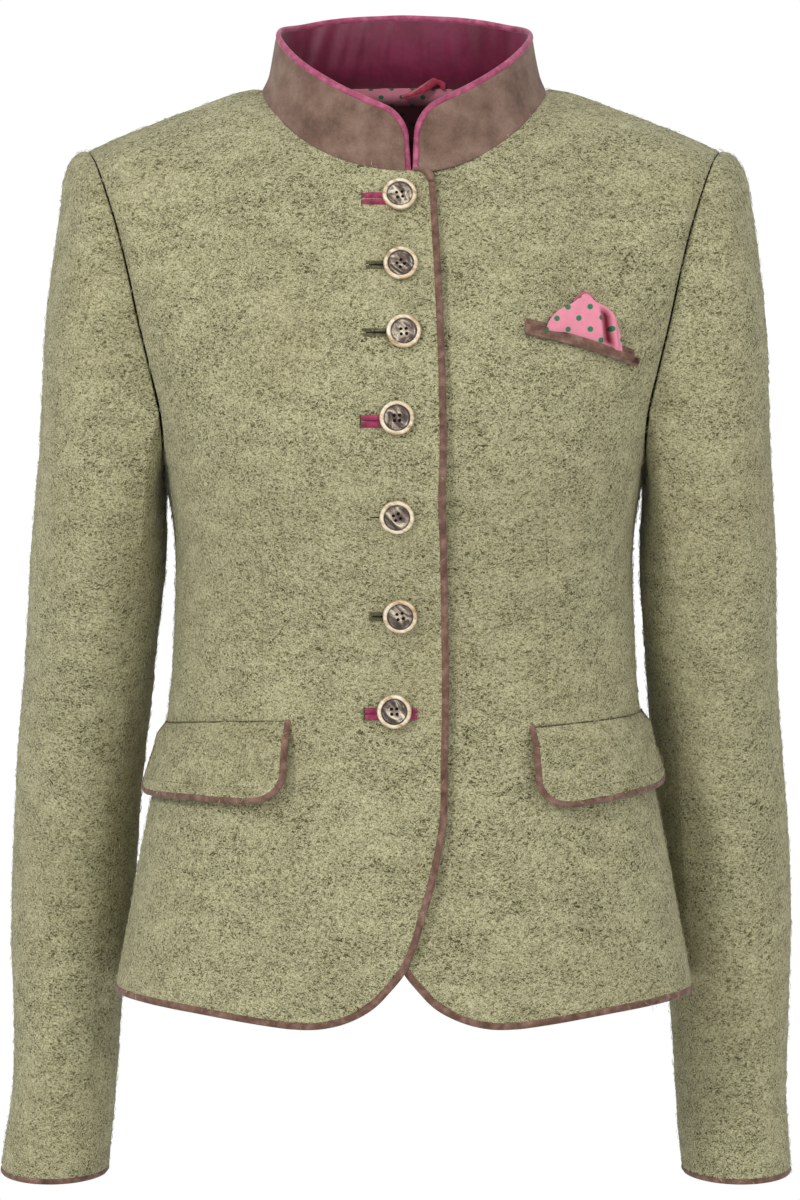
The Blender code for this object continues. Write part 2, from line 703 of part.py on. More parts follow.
def place_on(panel, across, z, out=0.0, measure=None):
    """The point of a panel at a height and either an x or an azimuth, moved out, and its normal."""
    grid, normals = panel
    measure = measure or (lambda point: point[0])
    flat = grid.reshape(-1, 3)
    misses = [(measure(p) - across) ** 2 + (p[2] - z) ** 2 for p in flat]
    row, column = divmod(int(np.argmin(misses)), grid.shape[1])
    row, column = float(row), float(column)
    for _ in range(15):
        here = bilinear(grid, row, column)
        by_row = bilinear(grid, row + 0.02, column) - here
        by_column = bilinear(grid, row, column + 0.02) - here
        a = (measure(here + by_row) - measure(here)) / 0.02
        b = (measure(here + by_column) - measure(here)) / 0.02
        c, d = by_row[2] / 0.02, by_column[2] / 0.02
        miss = np.array([across - measure(here), z - here[2]])
        span = a * d - b * c
        if abs(span) < 1e-9:
            break
        row += 0.8 * (d * miss[0] - b * miss[1]) / span
        column += 0.8 * (a * miss[1] - c * miss[0]) / span
    normal = unit(bilinear(normals, row, column))
    return bilinear(grid, row, column) + normal * out, normal


def make_buttons(front):
    points, faces = button_mesh()
    for k, (x, z) in enumerate(zip(BUTTON_X, BUTTON_Z), 1):
        out = BUTTON_OVER_HOLE if k in BOUND_HOLES else BUTTON_OUT
        place, normal = place_on(front, x, z, out)
        across = unit(np.cross([0.0, 0.0, 1.0], normal))
        turned = place + points @ np.array([across, np.cross(normal, across), normal])
        add_object(f"button_{k}", turned, faces, "horn")
        if k not in BOUND_HOLES:
            continue
        rows = []
        for dz in (-4.2, 0, 4.2):
            low = z + dz - BOUND_HOLE_DROP
            rows.append([place_on(front, dx, low, 1.3)[0] for dx in BOUND_HOLE_X])
        grid = np.array(rows)
        shell(f"buttonhole_{k}", grid, outward(grid), 0.8, "rose")


def make_flaps(panels):
    for side in ("left", "right"):
        front = panels[f"{side}_front"]
        rows = []
        normals = []
        for t in np.linspace(0, 1, 6):
            row = []
            facing = []
            for w in FLAP_WAYS:
                seam = smooth(w, FLAP["across"], FLAP["seam"])
                lower = smooth(w, FLAP["across"], FLAP["lower"])
                start = FLAP_FROM[0] + (FLAP_FROM[1] - FLAP_FROM[0]) * t + FLAP_TURN[side]
                end = FLAP_TO[0] + (FLAP_TO[1] - FLAP_TO[0]) * t + FLAP_TURN[side]
                shift = FLAP_TILT[side][0] + FLAP_TILT[side][1] * w
                out = FLAP_WALL + FLAP_CLEAR + FLAP_STAND * t**0.8
                place, normal = place_on(
                    front, start + (end - start) * w, seam + (lower - seam) * t + shift, out, azimuth
                )
                row.append(place)
                facing.append(normal)
            rows.append(row)
            normals.append(facing)
        grid = np.array(rows)
        found = unit(np.array(normals))
        shell(f"flap_{side}", grid, found, FLAP_WALL, "wool")
        edge = np.concatenate([grid[:, 0], grid[-1, 1:-1], grid[::-1, -1]])
        inside = np.concatenate([grid[:, 1], grid[-2, 1:-1], grid[::-1, -2]])
        inside[len(rows) - 1] = grid[-2, 1]
        inside[-len(rows)] = grid[-2, -2]
        facing = np.concatenate([found[:, 0], found[-1, 1:-1], found[::-1, -1]])
        line = along_edge(edge, inside, facing, wall=FLAP_WALL, out=1.6 + 0.65)
        piping(f"flap_piping_{side}", line, "piping", radius=1.6)


def make_breast_pocket(front):
    left = np.array(POCKET_LEFT)
    right = np.array(POCKET_RIGHT)
    ways = np.linspace(0, 1, 7)

    def lip_line(w, down):
        sag = POCKET_SAG * np.sin(np.pi * w)
        return left + (right - left) * w + np.array([0, sag - down])

    for name, first in (("breast_lip_upper", 0), ("breast_lip_lower", LIP_HEIGHT + 0.5)):
        rows = []
        for down in (first + LIP_HEIGHT, first):
            rows.append([place_on(front, *lip_line(w, down), LIP_OUT)[0] for w in ways])
        grid = np.array(rows)
        shell(name, grid, outward(grid), 1.3, "suede")
    rows = []
    for t in np.linspace(0, 1, 5):
        line = []
        for w in np.linspace(0, 1, 9):
            base = lip_line(0.15 + 0.70 * w, LIP_HEIGHT - 0.2)
            tip = np.array([smooth(w, SQUARE["way"], SQUARE["x"]), smooth(w, SQUARE["way"], SQUARE["z"])])
            place = base + (tip - base) * t
            line.append(place_on(front, *place, SQUARE_OUT + 1.5 * np.sin(np.pi * t))[0])
        rows.append(line)
    grid = np.array(rows)
    shell("pocket_square", grid, outward(grid), 1.2, "dotted")


def make_neck_inside(left_back):
    """The lining that shows below the back of the neck, and the hanger loop on it."""
    grid, normals = left_back
    last = len(grid) - 1
    columns = np.arange(NECK_COLUMNS_BACK + 0.01)
    rows = []
    for row in (last - 3, last - 2, last - 1, last - 0.08):
        half = np.array([bilinear(grid, row, c) for c in columns])
        inward = np.array([unit(bilinear(normals, row, c)) for c in columns]) * (WOOL + 0.5)
        half = half - inward
        rows.append(np.concatenate([half[::-1], mirrored(half[1:])]))
    lining = np.array(rows)
    shell("neck_lining", lining, outward(lining), SATIN, "dotted")
    way = np.linspace(0, 1, 9)
    sag = 4 * way * (1 - way)
    ends = np.array([LOOP_FROM, LOOP_TO])
    line = ends[0] + (ends[1] - ends[0]) * way[:, None] - np.array([0, 1.5, 1.0]) * sag[:, None]
    piping("hanger_loop", line, "rose", radius=1.3)


def main():
    clear_scene()
    panels, left_front, left_back, back_normals = make_body()
    make_trim(panels)
    make_sleeves(left_front, left_back)
    make_collar()
    make_buttons(panels["right_front"])
    make_flaps(panels)
    make_breast_pocket(panels["left_front"])
    make_neck_inside((left_back, back_normals))


main()
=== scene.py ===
"""The looks of a women's trachten blazer in boiled wool, around its fixed frame.

Millimetres in the code and metres in the scene. +X is the wearer's left, -Y the front, +Z up.
"""

import bpy
import numpy as np
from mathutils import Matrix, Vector
from mathutils.geometry import delaunay_2d_cdt


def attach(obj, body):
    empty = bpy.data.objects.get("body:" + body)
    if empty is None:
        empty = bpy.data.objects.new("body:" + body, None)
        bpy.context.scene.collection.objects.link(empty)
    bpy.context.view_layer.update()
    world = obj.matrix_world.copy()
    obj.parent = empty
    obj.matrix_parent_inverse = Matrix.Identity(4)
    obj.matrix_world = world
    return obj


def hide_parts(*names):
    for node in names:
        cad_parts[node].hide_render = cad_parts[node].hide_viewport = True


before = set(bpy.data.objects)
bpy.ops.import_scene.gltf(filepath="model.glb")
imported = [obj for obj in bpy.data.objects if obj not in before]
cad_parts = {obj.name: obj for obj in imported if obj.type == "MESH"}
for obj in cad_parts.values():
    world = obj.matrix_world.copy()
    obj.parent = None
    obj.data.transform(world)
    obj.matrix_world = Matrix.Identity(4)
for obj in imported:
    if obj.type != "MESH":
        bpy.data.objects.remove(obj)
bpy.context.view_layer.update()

MM = 0.001
# Thickness and clearances
WOOL = 2.6
SUEDE = 1.4
SATIN = 1.0
SEAM = 0.2  # each piece stops this far from the seam line
GAP = 0.4
PIPING_RADIUS = 1.9
OVERLAP_LIFT = 2.1  # the closed fronts part by this much to either side of the body's surface
MEETS = 0.15  # how far each piece of the scene reaches past its seam, to meet the next
TRIM_OVER = 1.1  # how far the cloth's edge reaches into its piping
PIPING = {"front": (1.95, 2.45), "hem": (1.85, 2.3), "cuff": (2.0, 1.7), "flap": (1.75, 2.25)}
CORNER = 6.5  # how round the right front's upper corner is
EDGE_STEPS = (0, 0.5, 1.1, 1.9, 3.0, 4.5)  # rows close together where cloth rolls over at its edge
FIBRES = {"body": 6000, "upper": 5200, "under": 2100, "flap": 800}  # loose fibres on each piece

# Heights of the jacket
UNDERARM = -235.0
SLEEVE_FREE = -300.0  # below this the sleeve is a plain tube
CUFF = -682.5

# The closed body, level by level: half width, depth to the front, depth to the back, widest point
TORSO = {
    "z": (-600, -562, -520, -455, -392, -355, -317, -290, -255, -235, -215),
    "half_width": (187, 181, 173, 161, 148, 144.5, 143, 143, 144.5, 149, 155),
    "front": (124, 123, 121.5, 117, 112, 111.5, 114, 120, 131, 133, 133),
    "back": (126, 124, 120, 112, 101, 94, 91, 93, 100, 104, 107),
    "widest": (-26, -24, -20, -12, -6, -3, 0, 0, 0, 0, 0),
}
SQUARE_FRONT = 0.06
SQUARE_BACK = 0.01

# The front edge of the wearer's left front, level by level, measured across from the centre
FRONT_EDGE = {
    "z": (-549, -544, -536, -524, -508, -485, -459, -401, -282, -162, -66, -51, -20),
    "x": (20, 14.5, 7, 0, -5.5, -12, -18.5, -21.7, -21, -18.6, -17.5, -13.5, -13.5),
}
# The hem, by angle round the body from the centre front
HEM = {
    "angle": (6.0, 9.0, 12.7, 17.0, 21.0, 29.0, 40.0, 54.0, 90.0, 180.0),
    "z": (-549, -555.5, -560.5, -563.3, -563.4, -560.8, -556.8, -554, -554, -560),
}

# Neckline and shoulder
NECK_SIDE = 40.0  # the angle whose column ends where neckline and shoulder seam meet
NECK_HALF = 87.0
NECK_FRONT = (78.0, -51.0)  # depth and height at the centre front
NECK_BACK = (60.0, 3.0)
SHOULDER = {
    "way": (0, 0.15, 0.34, 0.57, 0.80, 1),
    "x": (87, 104, 126, 152, 177, 196),
    "y": (0, 0, 1, 2, 4, 5),
    "z": (0, -2.9, -9.8, -19.6, -29.3, -38),
}
SHOULDER_FAN = 0.45  # below 1 the columns spread towards the tip
# The way each column arrives at its top, by angle, and how strongly
ARRIVE = {
    "angle": (0, 20, 40, 65, 90, 115, 140, 160, 180),
    "x": (0, -0.04, -0.10, 0.02, 0.30, 0.02, -0.08, -0.03, 0),
    "y": (0.50, 0.62, 0.93, 0.99, 0.95, 0.99, 0.93, 0.60, 0.30),
    "z": (0.86, 0.77, 0.33, 0.12, 0.12, 0.12, 0.33, 0.80, 0.95),
    "pull": (0.60, 0.60, 0.75, 0.80, 0.80, 0.80, 0.75, 0.60, 0.55),
}
LEAVE_PULL = 0.80
# How much fuller the chest and the shoulder blades are towards the armhole
FULL_FRONT = {"angle": (20, 30, 45, 60, 75, 90), "y": (0, -2, -9, -20, -30, -32)}
FULL_BACK = {"angle": (20, 30, 45, 60, 75, 90), "y": (0, 1, 6, 14, 22, 24)}

# The waist dart
DART_X = 86.5
DART_TOP = -212.0
DART_LOW = -386.0

# The armhole, as the angle that each level of the upper body reaches
ARMHOLE = {
    "level": (0, 0.04, 0.10, 0.18, 0.28, 0.40, 0.52, 0.64, 0.76, 0.88, 1),
    "front": (90, 78, 70, 67, 69.3, 74, 78.3, 83.5, 87.3, 88.8, 90),
    "back": (90, 81, 74, 70.5, 72.5, 76.3, 79.3, 84, 87.3, 88.8, 90),
}
LOWER_ROWS = (0, 0.025, 0.06, 0.10, 0.16, 0.24, 0.34, 0.46, 0.58, 0.72, 0.86)
NECK_COLUMNS_FRONT = 8
NECK_COLUMNS_BACK = 5
SHOULDER_COLUMNS = 6

# The sleeve's sections
SLEEVE = {
    "z": (-683, -617, -571, -511, -442, -392, -342, -300),
    "outer_left": (247, 244.5, 247.5, 246.5, 242.5, 238.5, 235, 232),
    "inner_left": (177.5, 172, 169, 165, 160, 156, 150.5, 147),
    "outer_right": (257, 249.5, 250, 250.5, 246, 241.5, 237, 233),
    "inner_right": (188.5, 183, 179, 173, 165.5, 160.5, 155, 149.5),
    "half_depth": (45, 46, 47.5, 49, 53, 56, 59, 60),
    "centre": (36, 44, 50, 49, 42, 32, 19, 8),
}
CAP_ROWS = (0, 0.05, 0.14, 0.28, 0.46, 0.68, 1)
SLEEVE_ROWS = 8
SEAM_FRONT = 3  # columns from the underarm to the sleeve's front seam
SEAM_BACK = 5
# The way the sleeve leaves the armhole, from the underarm to the shoulder tip
CAP_LEAVE = {
    "way": (0, 0.25, 0.5, 0.75, 1),
    "out": (0.02, 0.40, 0.86, 0.97, 1),
    "forward": (0, 0.02, 0.10, 0.10, 0),
    "up": (-1, -0.90, -0.45, -0.20, -0.06),
    "pull": (50, 60, 75, 70, 62),
}
# How far the sleeve head stands out at each row of the cap, most at the shoulder tip
HEAD_LEFT = (0, 3.4, 5.6, 5.4, 4.6, 2.4, 0)
HEAD_RIGHT = (0, 2.6, 3.8, 2.0, 1.3, 1.0, 0)

# The stand collar, by angle round the neckline
COLLAR = {
    "angle": (0, 8, 20, 30, 40, 90, 140, 160, 180),
    "height": (33, 37, 40, 38, 32, 31, 33, 38.5, 40.2),
    "lean": (5, 5, 6, 7, 7.4, 7.4, 8, 10, 10),
}
COLLAR_BEND = 0.6  # below 1 the collar turns in mostly near its seam
COLLAR_END = {"right": 0.2, "left": 9.5}
COLLAR_PIPING = 1.9
COLLAR_CORNER = 14.0
FACING_FOLDS = (  # the satin's folds: the angle round the neck, half width in degrees and height
    (148, 4, 2.0), (157, 3.4, 1.6), (166, 4.4, 2.4), (176, 3.4, 1.5), (184, 4, 2.1), (195, 4.6, 2.6),
    (204, 3, 1.8), (213, 4, 2.2), (223, 3.4, 1.6), (136, 4.5, 1.8), (124, 4, 1.4), (236, 4.6, 1.8),
    (250, 4, 1.2), (108, 4.6, 1.2),
)

BUTTON_X = (-2.7, -2.1, -0.3, -4.3, -4.3, -2.4, -5.9)
BUTTON_Z = (-65.8, -106.3, -146.4, -197.5, -256.0, -316.8, -374.8)
BUTTON_OUT = 0.7  # from the front's surface to the back of the button
BUTTON_OVER_HOLE = 1.75  # the same over a bound buttonhole
BUTTON_TURN = (8, 40, 4, 3, 24, 12, 2)  # how far each is turned, in degrees
BOUND_HOLES = {1: (-25.0, 4.5), 4: (-25.6, 3.0), 7: (-23.5, 8.0)}  # both ends, by the button's number
BOUND_HOLE_DROP = 1.7  # below the middle of its button
STITCHED_HOLES = {2: -22.5, 3: -24.5, 5: -22.0, 6: -20.5}  # the outer end, by the button's number

# Hip flaps: the seam and the lower edge, measured from the centre front
FLAP = {
    "across": (0, 0.03, 0.08, 0.16, 0.3, 0.5, 0.8, 0.94, 1),
    "seam": (-381.5, -381.6, -381.8, -382.3, -383.2, -385, -388.5, -390.3, -391),
    "lower": (-416, -422.5, -426.6, -428.6, -429, -429.3, -431, -431.6, -430.4),
}
FLAP_WAYS = (0, 0.03, 0.08, 0.16, 0.28, 0.42, 0.56, 0.7, 0.84, 0.94, 1)
FLAP_FROM = (35.0, 34.8)  # degrees round the body, at the seam and at the lower edge
FLAP_TO = (80.0, 80.0)
FLAP_TURN = {"left": 3.3, "right": 0.0}  # further round the body, in degrees
FLAP_TILT = {"left": (-4.0, 10.5), "right": (0.0, 0.0)}  # height at the front end, rise to the far end
FLAP_WALL = 3.0
FLAP_CLEAR = 1.2
FLAP_STAND = 4.0  # how far the lower edge stands off the front

POCKET_LEFT = (72.0, -138.5)  # the pocket's upper corners
POCKET_RIGHT = (139.0, -158.5)
POCKET_SAG = 1.5
LIP_HEIGHT = 3.7
LIP_OUT = 2.5

# The pocket square's outline above the lips, and the peak of its second layer
SQUARE = {
    "way": (0, 0.12, 0.25, 0.4, 0.5, 0.6, 0.75, 0.9, 1),
    "x": (83.7, 86.7, 91.7, 100.2, 107.6, 113.7, 121.2, 126.7, 129.2),
    "z": (-145.5, -139.5, -134.5, -130.3, -125.3, -129.8, -134.0, -142.5, -153.0),
}
LAYER_TOP = (
    (95.2, -134.0), (99.2, -130.0), (102.7, -126.5), (105.7, -124.0),
    (110.2, -124.8), (114.2, -129.5), (117.2, -134.0),
)
DOTS_FROM = (105.1, -138.5)  # a dot's place on the pocket square
DOT = 1.75  # a dot's radius
DOT_SPACING = 13.4

# The hanger loop, from the lining up to the collar, where its upper end turns back down
LOOP_FROM = (-1.0, 55.0, -4.0)
LOOP_TO = (19.5, 51.9, 6.0)
LOOP_TURN = ((3.0, 0.2, 0.4), (4.6, 0.4, -1.6), (5.2, 0.4, -5.0))


# Numbers along smooth curves


def cubic(t, start, end, leave, arrive, width=1):
    """From start to end over t from 0 to 1, with the slopes on leaving and on arriving."""
    return (
        (2 * t**3 - 3 * t**2 + 1) * start
        + (t**3 - 2 * t**2 + t) * width * leave
        + (3 * t**2 - 2 * t**3) * end
        + (t**3 - t**2) * width * arrive
    )


def curve_through(at, knots, values):
    """A smooth curve through values that may be numbers, points or rows of points."""
    slopes = np.gradient(values, knots, axis=0)
    left = np.clip(np.searchsorted(knots, at, side="right") - 1, 0, len(knots) - 2)
    width = knots[left + 1] - knots[left]
    t = (at - knots[left]) / width
    shape = np.shape(width) + (1,) * (values.ndim - 1)
    width = np.reshape(width, shape)
    t = np.reshape(t, shape)
    return cubic(t, values[left], values[left + 1], slopes[left], slopes[left + 1], width)


def smooth(at, knots, values):
    """A smooth curve through a short table of numbers, level outside it."""
    knots = np.asarray(knots, float)
    at = np.clip(np.asarray(at, float), knots[0], knots[-1])
    return curve_through(at, knots, np.asarray(values, float))


def step(at, start, end):
    """From 0 at the start to 1 at the end, level at both."""
    t = np.clip((np.asarray(at, float) - start) / (end - start), 0, 1)
    return t * t * (3 - 2 * t)


def unit(vectors):
    return vectors / np.maximum(np.linalg.norm(vectors, axis=-1, keepdims=True), 1e-9)


# The wool's outer surface. Angles run from 0 at the centre front over 90 at the side to 180 at the back


def body(angle, z):
    """Below the armholes."""
    angle, z = np.broadcast_arrays(np.asarray(angle, float), np.asarray(z, float))
    half, front, back, widest = (
        smooth(z, TORSO["z"], TORSO[k]) for k in ("half_width", "front", "back", "widest")
    )
    turn = np.radians(angle)
    across = np.sin(turn)
    along = np.cos(turn)
    depth = np.where(along > 0, front + widest, back - widest)
    square = 1 + np.where(along > 0, SQUARE_FRONT, SQUARE_BACK) * np.sin(2 * turn) ** 2
    return np.stack([half * across * square, widest - depth * along * square, z], -1)


def neckline(angle):
    """The seam of the collar."""
    angle = np.asarray(angle, float)
    way = np.where(np.abs(angle) <= 90, angle, np.sign(angle) * (180 - np.abs(angle)))
    across = np.clip(np.sin(np.radians(way)) / np.sin(np.radians(NECK_SIDE)), -1, 1)
    along = np.sqrt(1 - across**2)
    front = np.abs(angle) <= 90
    y = np.where(front, -NECK_FRONT[0], NECK_BACK[0]) * along
    z = np.where(front, NECK_FRONT[1] * along**1.4, NECK_BACK[1] * along)
    return np.stack([NECK_HALF * across, y, z], -1)


def top_edge(angle):
    """Neckline and shoulder seam."""
    angle = np.asarray(angle, float)
    from_front = np.where(angle <= 90, angle, 180 - angle)
    way = np.clip((from_front - NECK_SIDE) / (90 - NECK_SIDE), 0, 1) ** SHOULDER_FAN
    ridge = np.stack([smooth(way, SHOULDER["way"], SHOULDER[k]) for k in "xyz"], -1)
    return np.where((from_front < NECK_SIDE)[..., None], neckline(angle), ridge)


def chest(angle, level):
    """Above the underarm, from level 0 there to level 1 at the neckline and shoulder."""
    angle, level = np.broadcast_arrays(np.asarray(angle, float), np.asarray(level, float))
    low = body(angle, UNDERARM)
    high = top_edge(angle)
    reach = np.linalg.norm(high - low, axis=-1, keepdims=True)
    leave = body(angle, UNDERARM + 1) - body(angle, UNDERARM - 1)
    arrive = np.stack([smooth(angle, ARRIVE["angle"], ARRIVE[k]) for k in "xyz"], -1)
    arrive[..., 1] *= np.sign(90.001 - angle)
    pull = smooth(angle, ARRIVE["angle"], ARRIVE["pull"])[..., None]
    level_column = level[..., None]
    made = cubic(level_column, low, high, unit(leave) * reach * LEAVE_PULL, unit(arrive) * reach * pull)
    fullness = np.where(
        angle <= 90,
        smooth(angle, FULL_FRONT["angle"], FULL_FRONT["y"]),
        smooth(180 - angle, FULL_BACK["angle"], FULL_BACK["y"]),
    )
    # the factor makes the fullness what its table says where it is most, at two thirds of the way up
    made[..., 1] += fullness * 6.75 * level**2 * (1 - level)
    return made


def edge_angle(z):
    """The front edge's angle at a height."""
    x = smooth(z, FRONT_EDGE["z"], FRONT_EDGE["x"])
    return np.degrees(np.arcsin(x / smooth(z, TORSO["z"], TORSO["half_width"])))


def edge_angle_above(level):
    """The same in the upper body, where the neckline's own width counts."""
    low = edge_angle(UNDERARM)
    high = np.degrees(np.arcsin(FRONT_EDGE["x"][-1] * np.sin(np.radians(NECK_SIDE)) / NECK_HALF))
    return low + (high - low) * np.asarray(level, float) ** 2


def front_grid():
    """The wearer's left front: rows from hem to top, columns from the front edge to the side."""
    top_start = float(edge_angle_above(1.0))
    corner = (NECK_SIDE - top_start) / (90 - top_start)
    neck = np.linspace(0, corner, NECK_COLUMNS_FRONT + 1)
    across = np.concatenate([neck, np.linspace(corner, 1, SHOULDER_COLUMNS + 1)[1:]])
    hem = np.full(len(across), HEM["z"][0], float)
    for _ in range(20):
        start = edge_angle(hem)
        hem = smooth(start + (90 - start) * across, HEM["angle"], HEM["z"])
    rows = []
    for r in LOWER_ROWS:
        z = hem + (UNDERARM - hem) * r
        start = edge_angle(z)
        rows.append(body(start + (90 - start) * across, z))
    for level, end in zip(ARMHOLE["level"], ARMHOLE["front"]):
        start = edge_angle_above(level)
        rows.append(chest(start + (end - start) * across, level))
    return np.array(rows)


def back_grid():
    """The wearer's left back: columns from the centre back to the side."""
    corner = NECK_SIDE / 90
    neck = np.linspace(0, corner, NECK_COLUMNS_BACK + 1)
    across = np.concatenate([neck, np.linspace(corner, 1, SHOULDER_COLUMNS + 1)[1:]])
    hem = smooth(180 - 90 * across, HEM["angle"], HEM["z"])
    rows = []
    for r in LOWER_ROWS:
        rows.append(body(180 - 90 * across, hem + (UNDERARM - hem) * r))
    for level, end in zip(ARMHOLE["level"], ARMHOLE["back"]):
        rows.append(chest(180 - end * across, level))
    return np.array(rows)


def mirrored(grid):
    return grid * np.array([-1, 1, 1])


def normals_of(grid, closed=False):
    """Unit normals of a grid, pointing the way that rows cross columns."""
    if closed:
        across = np.roll(grid, -1, 1) - np.roll(grid, 1, 1)
    else:
        across = np.gradient(grid, axis=1)
    return unit(np.cross(across, np.gradient(grid, axis=0)))


def outward(grid):
    """Normals turned away from the body's middle line."""
    found = normals_of(grid)
    middle = grid.reshape(-1, 3).mean(0) * np.array([0, 0, 1]) - np.array([0, 0, 80])
    if (found * (grid - middle)).sum() < 0:
        found = -found
    return found


def weld_normals(grids, normals):
    """Pieces that meet at a seam share their normals there."""
    shared = {}
    for grid, found in zip(grids, normals):
        for point, normal in zip(grid.reshape(-1, 3), found.reshape(-1, 3)):
            key = tuple(np.round(point, 2) + 0.0)
            shared[key] = shared.get(key, 0) + normal
    welded = []
    for grid in grids:
        rows = [shared[tuple(np.round(p, 2) + 0.0)] for p in grid.reshape(-1, 3)]
        welded.append(unit(np.array(rows)).reshape(grid.shape))
    return welded


def stop_short(grid, sides, by=SEAM):
    """Draws the named sides of a grid back from the seam."""
    out = grid.copy()
    if "first" in sides:
        out[:, 0] += by * unit(grid[:, 1] - grid[:, 0])
    if "last" in sides:
        out[:, -1] += by * unit(grid[:, -2] - grid[:, -1])
    if "low" in sides:
        out[0] += by * unit(grid[1] - grid[0])
    if "high" in sides:
        out[-1] += by * unit(grid[-2] - grid[-1])
    return out


def along_edge(edge, inside, normals, wall=WOOL, out=None):
    """The line of a piping just outside an edge, level with the middle of the wall."""
    away = edge - inside
    away -= (away * normals).sum(-1, keepdims=True) * normals
    along = unit(np.gradient(edge, axis=0))
    away -= (away * along).sum(-1, keepdims=True) * along
    reach = PIPING_RADIUS + GAP if out is None else out
    return edge + unit(away) * reach - normals * wall / 2


def lifted(grid, normals, by):
    """Moves the middle of a front out, where the two fronts lie over each other."""
    near = 1 - step(np.abs(grid[..., 0]), 26, 62)
    return grid + normals * (by * near)[..., None]


def ring(turn, z, side):
    """The sleeve's section at a height, turn 0 outside, -90 in front and 180 next to the body."""
    turn, z = np.broadcast_arrays(np.asarray(turn, float), np.asarray(z, float))
    outer, inner, depth, centre = (
        smooth(z, SLEEVE["z"], SLEEVE[k])
        for k in (f"outer_{side}", f"inner_{side}", "half_depth", "centre")
    )
    way = np.radians(turn)
    x = (outer + inner) / 2 + (outer - inner) / 2 * np.cos(way)
    return np.stack([x, centre + depth * np.sin(way), z], -1)


def sleeve_grid(left_front, left_back, side):
    """A sleeve on the +X side: columns round from the underarm over the front and the shoulder tip."""
    low = len(LOWER_ROWS)
    front = left_front[low:, -1]
    back = left_back[low:, -1][::-1]
    loop = np.concatenate([front, back[1:-1]])
    ways = []
    for line in (front, back[::-1]):
        way = np.concatenate([[0], np.cumsum(np.linalg.norm(np.diff(line, axis=0), axis=1))])
        ways.append(way / way[-1])
    way = np.concatenate([ways[0], ways[1][::-1][1:-1]])
    turn = np.concatenate([-180 + 180 * ways[0], (180 - 180 * ways[1][::-1])[1:-1]])
    forward = np.concatenate([-np.ones(len(front)), np.ones(len(back) - 2)])
    leave = np.stack(
        [
            smooth(way, CAP_LEAVE["way"], CAP_LEAVE["out"]),
            forward * smooth(way, CAP_LEAVE["way"], CAP_LEAVE["forward"]),
            smooth(way, CAP_LEAVE["way"], CAP_LEAVE["up"]),
        ],
        -1,
    )
    leave = unit(leave)
    start = loop + leave * GAP + np.array([GAP, 0, 0])
    free = ring(turn, SLEEVE_FREE, side)
    down = unit(ring(turn, SLEEVE_FREE - 2, side) - free)
    drop = np.linalg.norm(start - free, axis=-1, keepdims=True)
    pull = smooth(way, CAP_LEAVE["way"], CAP_LEAVE["pull"])[:, None]
    heads = HEAD_LEFT if side == "left" else HEAD_RIGHT
    rows = []
    for t, head in zip(CAP_ROWS, heads):
        row = cubic(t, start, free, leave * pull, down * drop)
        rows.append(row + leave * head * (way**2)[:, None])
    for t in np.linspace(0, 1, SLEEVE_ROWS + 1)[1:]:
        rows.append(ring(turn, SLEEVE_FREE + (CUFF - SLEEVE_FREE) * t, side))
    return np.array(rows)


def sleeve_normals(grid):
    """Normals turned away from the sleeve's own middle."""
    found = normals_of(grid, closed=True)
    away = grid[-1] - grid[-1].mean(0)
    if (found[-1] * away).sum() < 0:
        found = -found
    return found


def collar_angles():
    """Even steps round the neckline, closer at the rounded front corners."""
    narrow = np.sin(np.radians(NECK_SIDE)) / NECK_HALF
    start = float(np.degrees(np.arcsin(COLLAR_END["left"] * narrow)))
    end = 360 + float(np.degrees(np.arcsin(COLLAR_END["right"] * narrow)))
    inset = COLLAR_CORNER * 0.45
    bend = [inset * (1 - np.cos(np.radians(k))) for k in (0, 30, 55, 75, 90)]
    middle = np.linspace(start + inset, NECK_SIDE, 5)[1:]
    back = np.linspace(180 - NECK_SIDE, 180 + NECK_SIDE, 11)
    far = np.linspace(360 - NECK_SIDE, end - inset, 5)[:-1]
    return np.concatenate(
        [[start + b for b in bend], middle, back[1:], far[1:], [end - b for b in bend[::-1]]]
    )


def collar_grid():
    """The collar's outer surface: rows from the neckline up, columns round the neck."""
    angles = collar_angles()
    signed = np.where(angles > 180, angles - 360, angles)
    foot = neckline(signed)
    size = np.abs(signed)
    height = smooth(size, COLLAR["angle"], COLLAR["height"])
    lean = smooth(size, COLLAR["angle"], COLLAR["lean"])
    ends = np.abs(foot[:, 0] - np.where(angles > 180, foot[-1, 0], foot[0, 0]))
    near = np.where((size < 40) & (ends < COLLAR_CORNER), 1 - ends / COLLAR_CORNER, 0)
    height = height - 17 * (1 - np.sqrt(np.clip(1 - near**2, 0, 1)))
    middle = foot * np.array([1, 1, 0])
    inward = -unit(middle * np.array([1, 1.25, 0]))
    rows = []
    for t in (0, 0.2, 0.55, 1):
        turned = foot + inward * (lean * t**COLLAR_BEND)[:, None]
        rows.append(turned + np.array([0, 0, 1]) * (height * t)[:, None])
    return np.array(rows)


def bilinear(grid, row, column):
    """A grid's value between its rows and columns."""
    i = int(np.clip(np.floor(row), 0, grid.shape[0] - 2))
    j = int(np.clip(np.floor(column), 0, grid.shape[1] - 2))
    s, t = row - i, column - j
    low = grid[i, j] * (1 - t) + grid[i, j + 1] * t
    high = grid[i + 1, j] * (1 - t) + grid[i + 1, j + 1] * t
    return low * (1 - s) + high * s


def azimuth(point):
    """Degrees round the body from the centre front, the same to either side."""
    return np.degrees(np.arctan2(abs(point[0]), -point[1]))


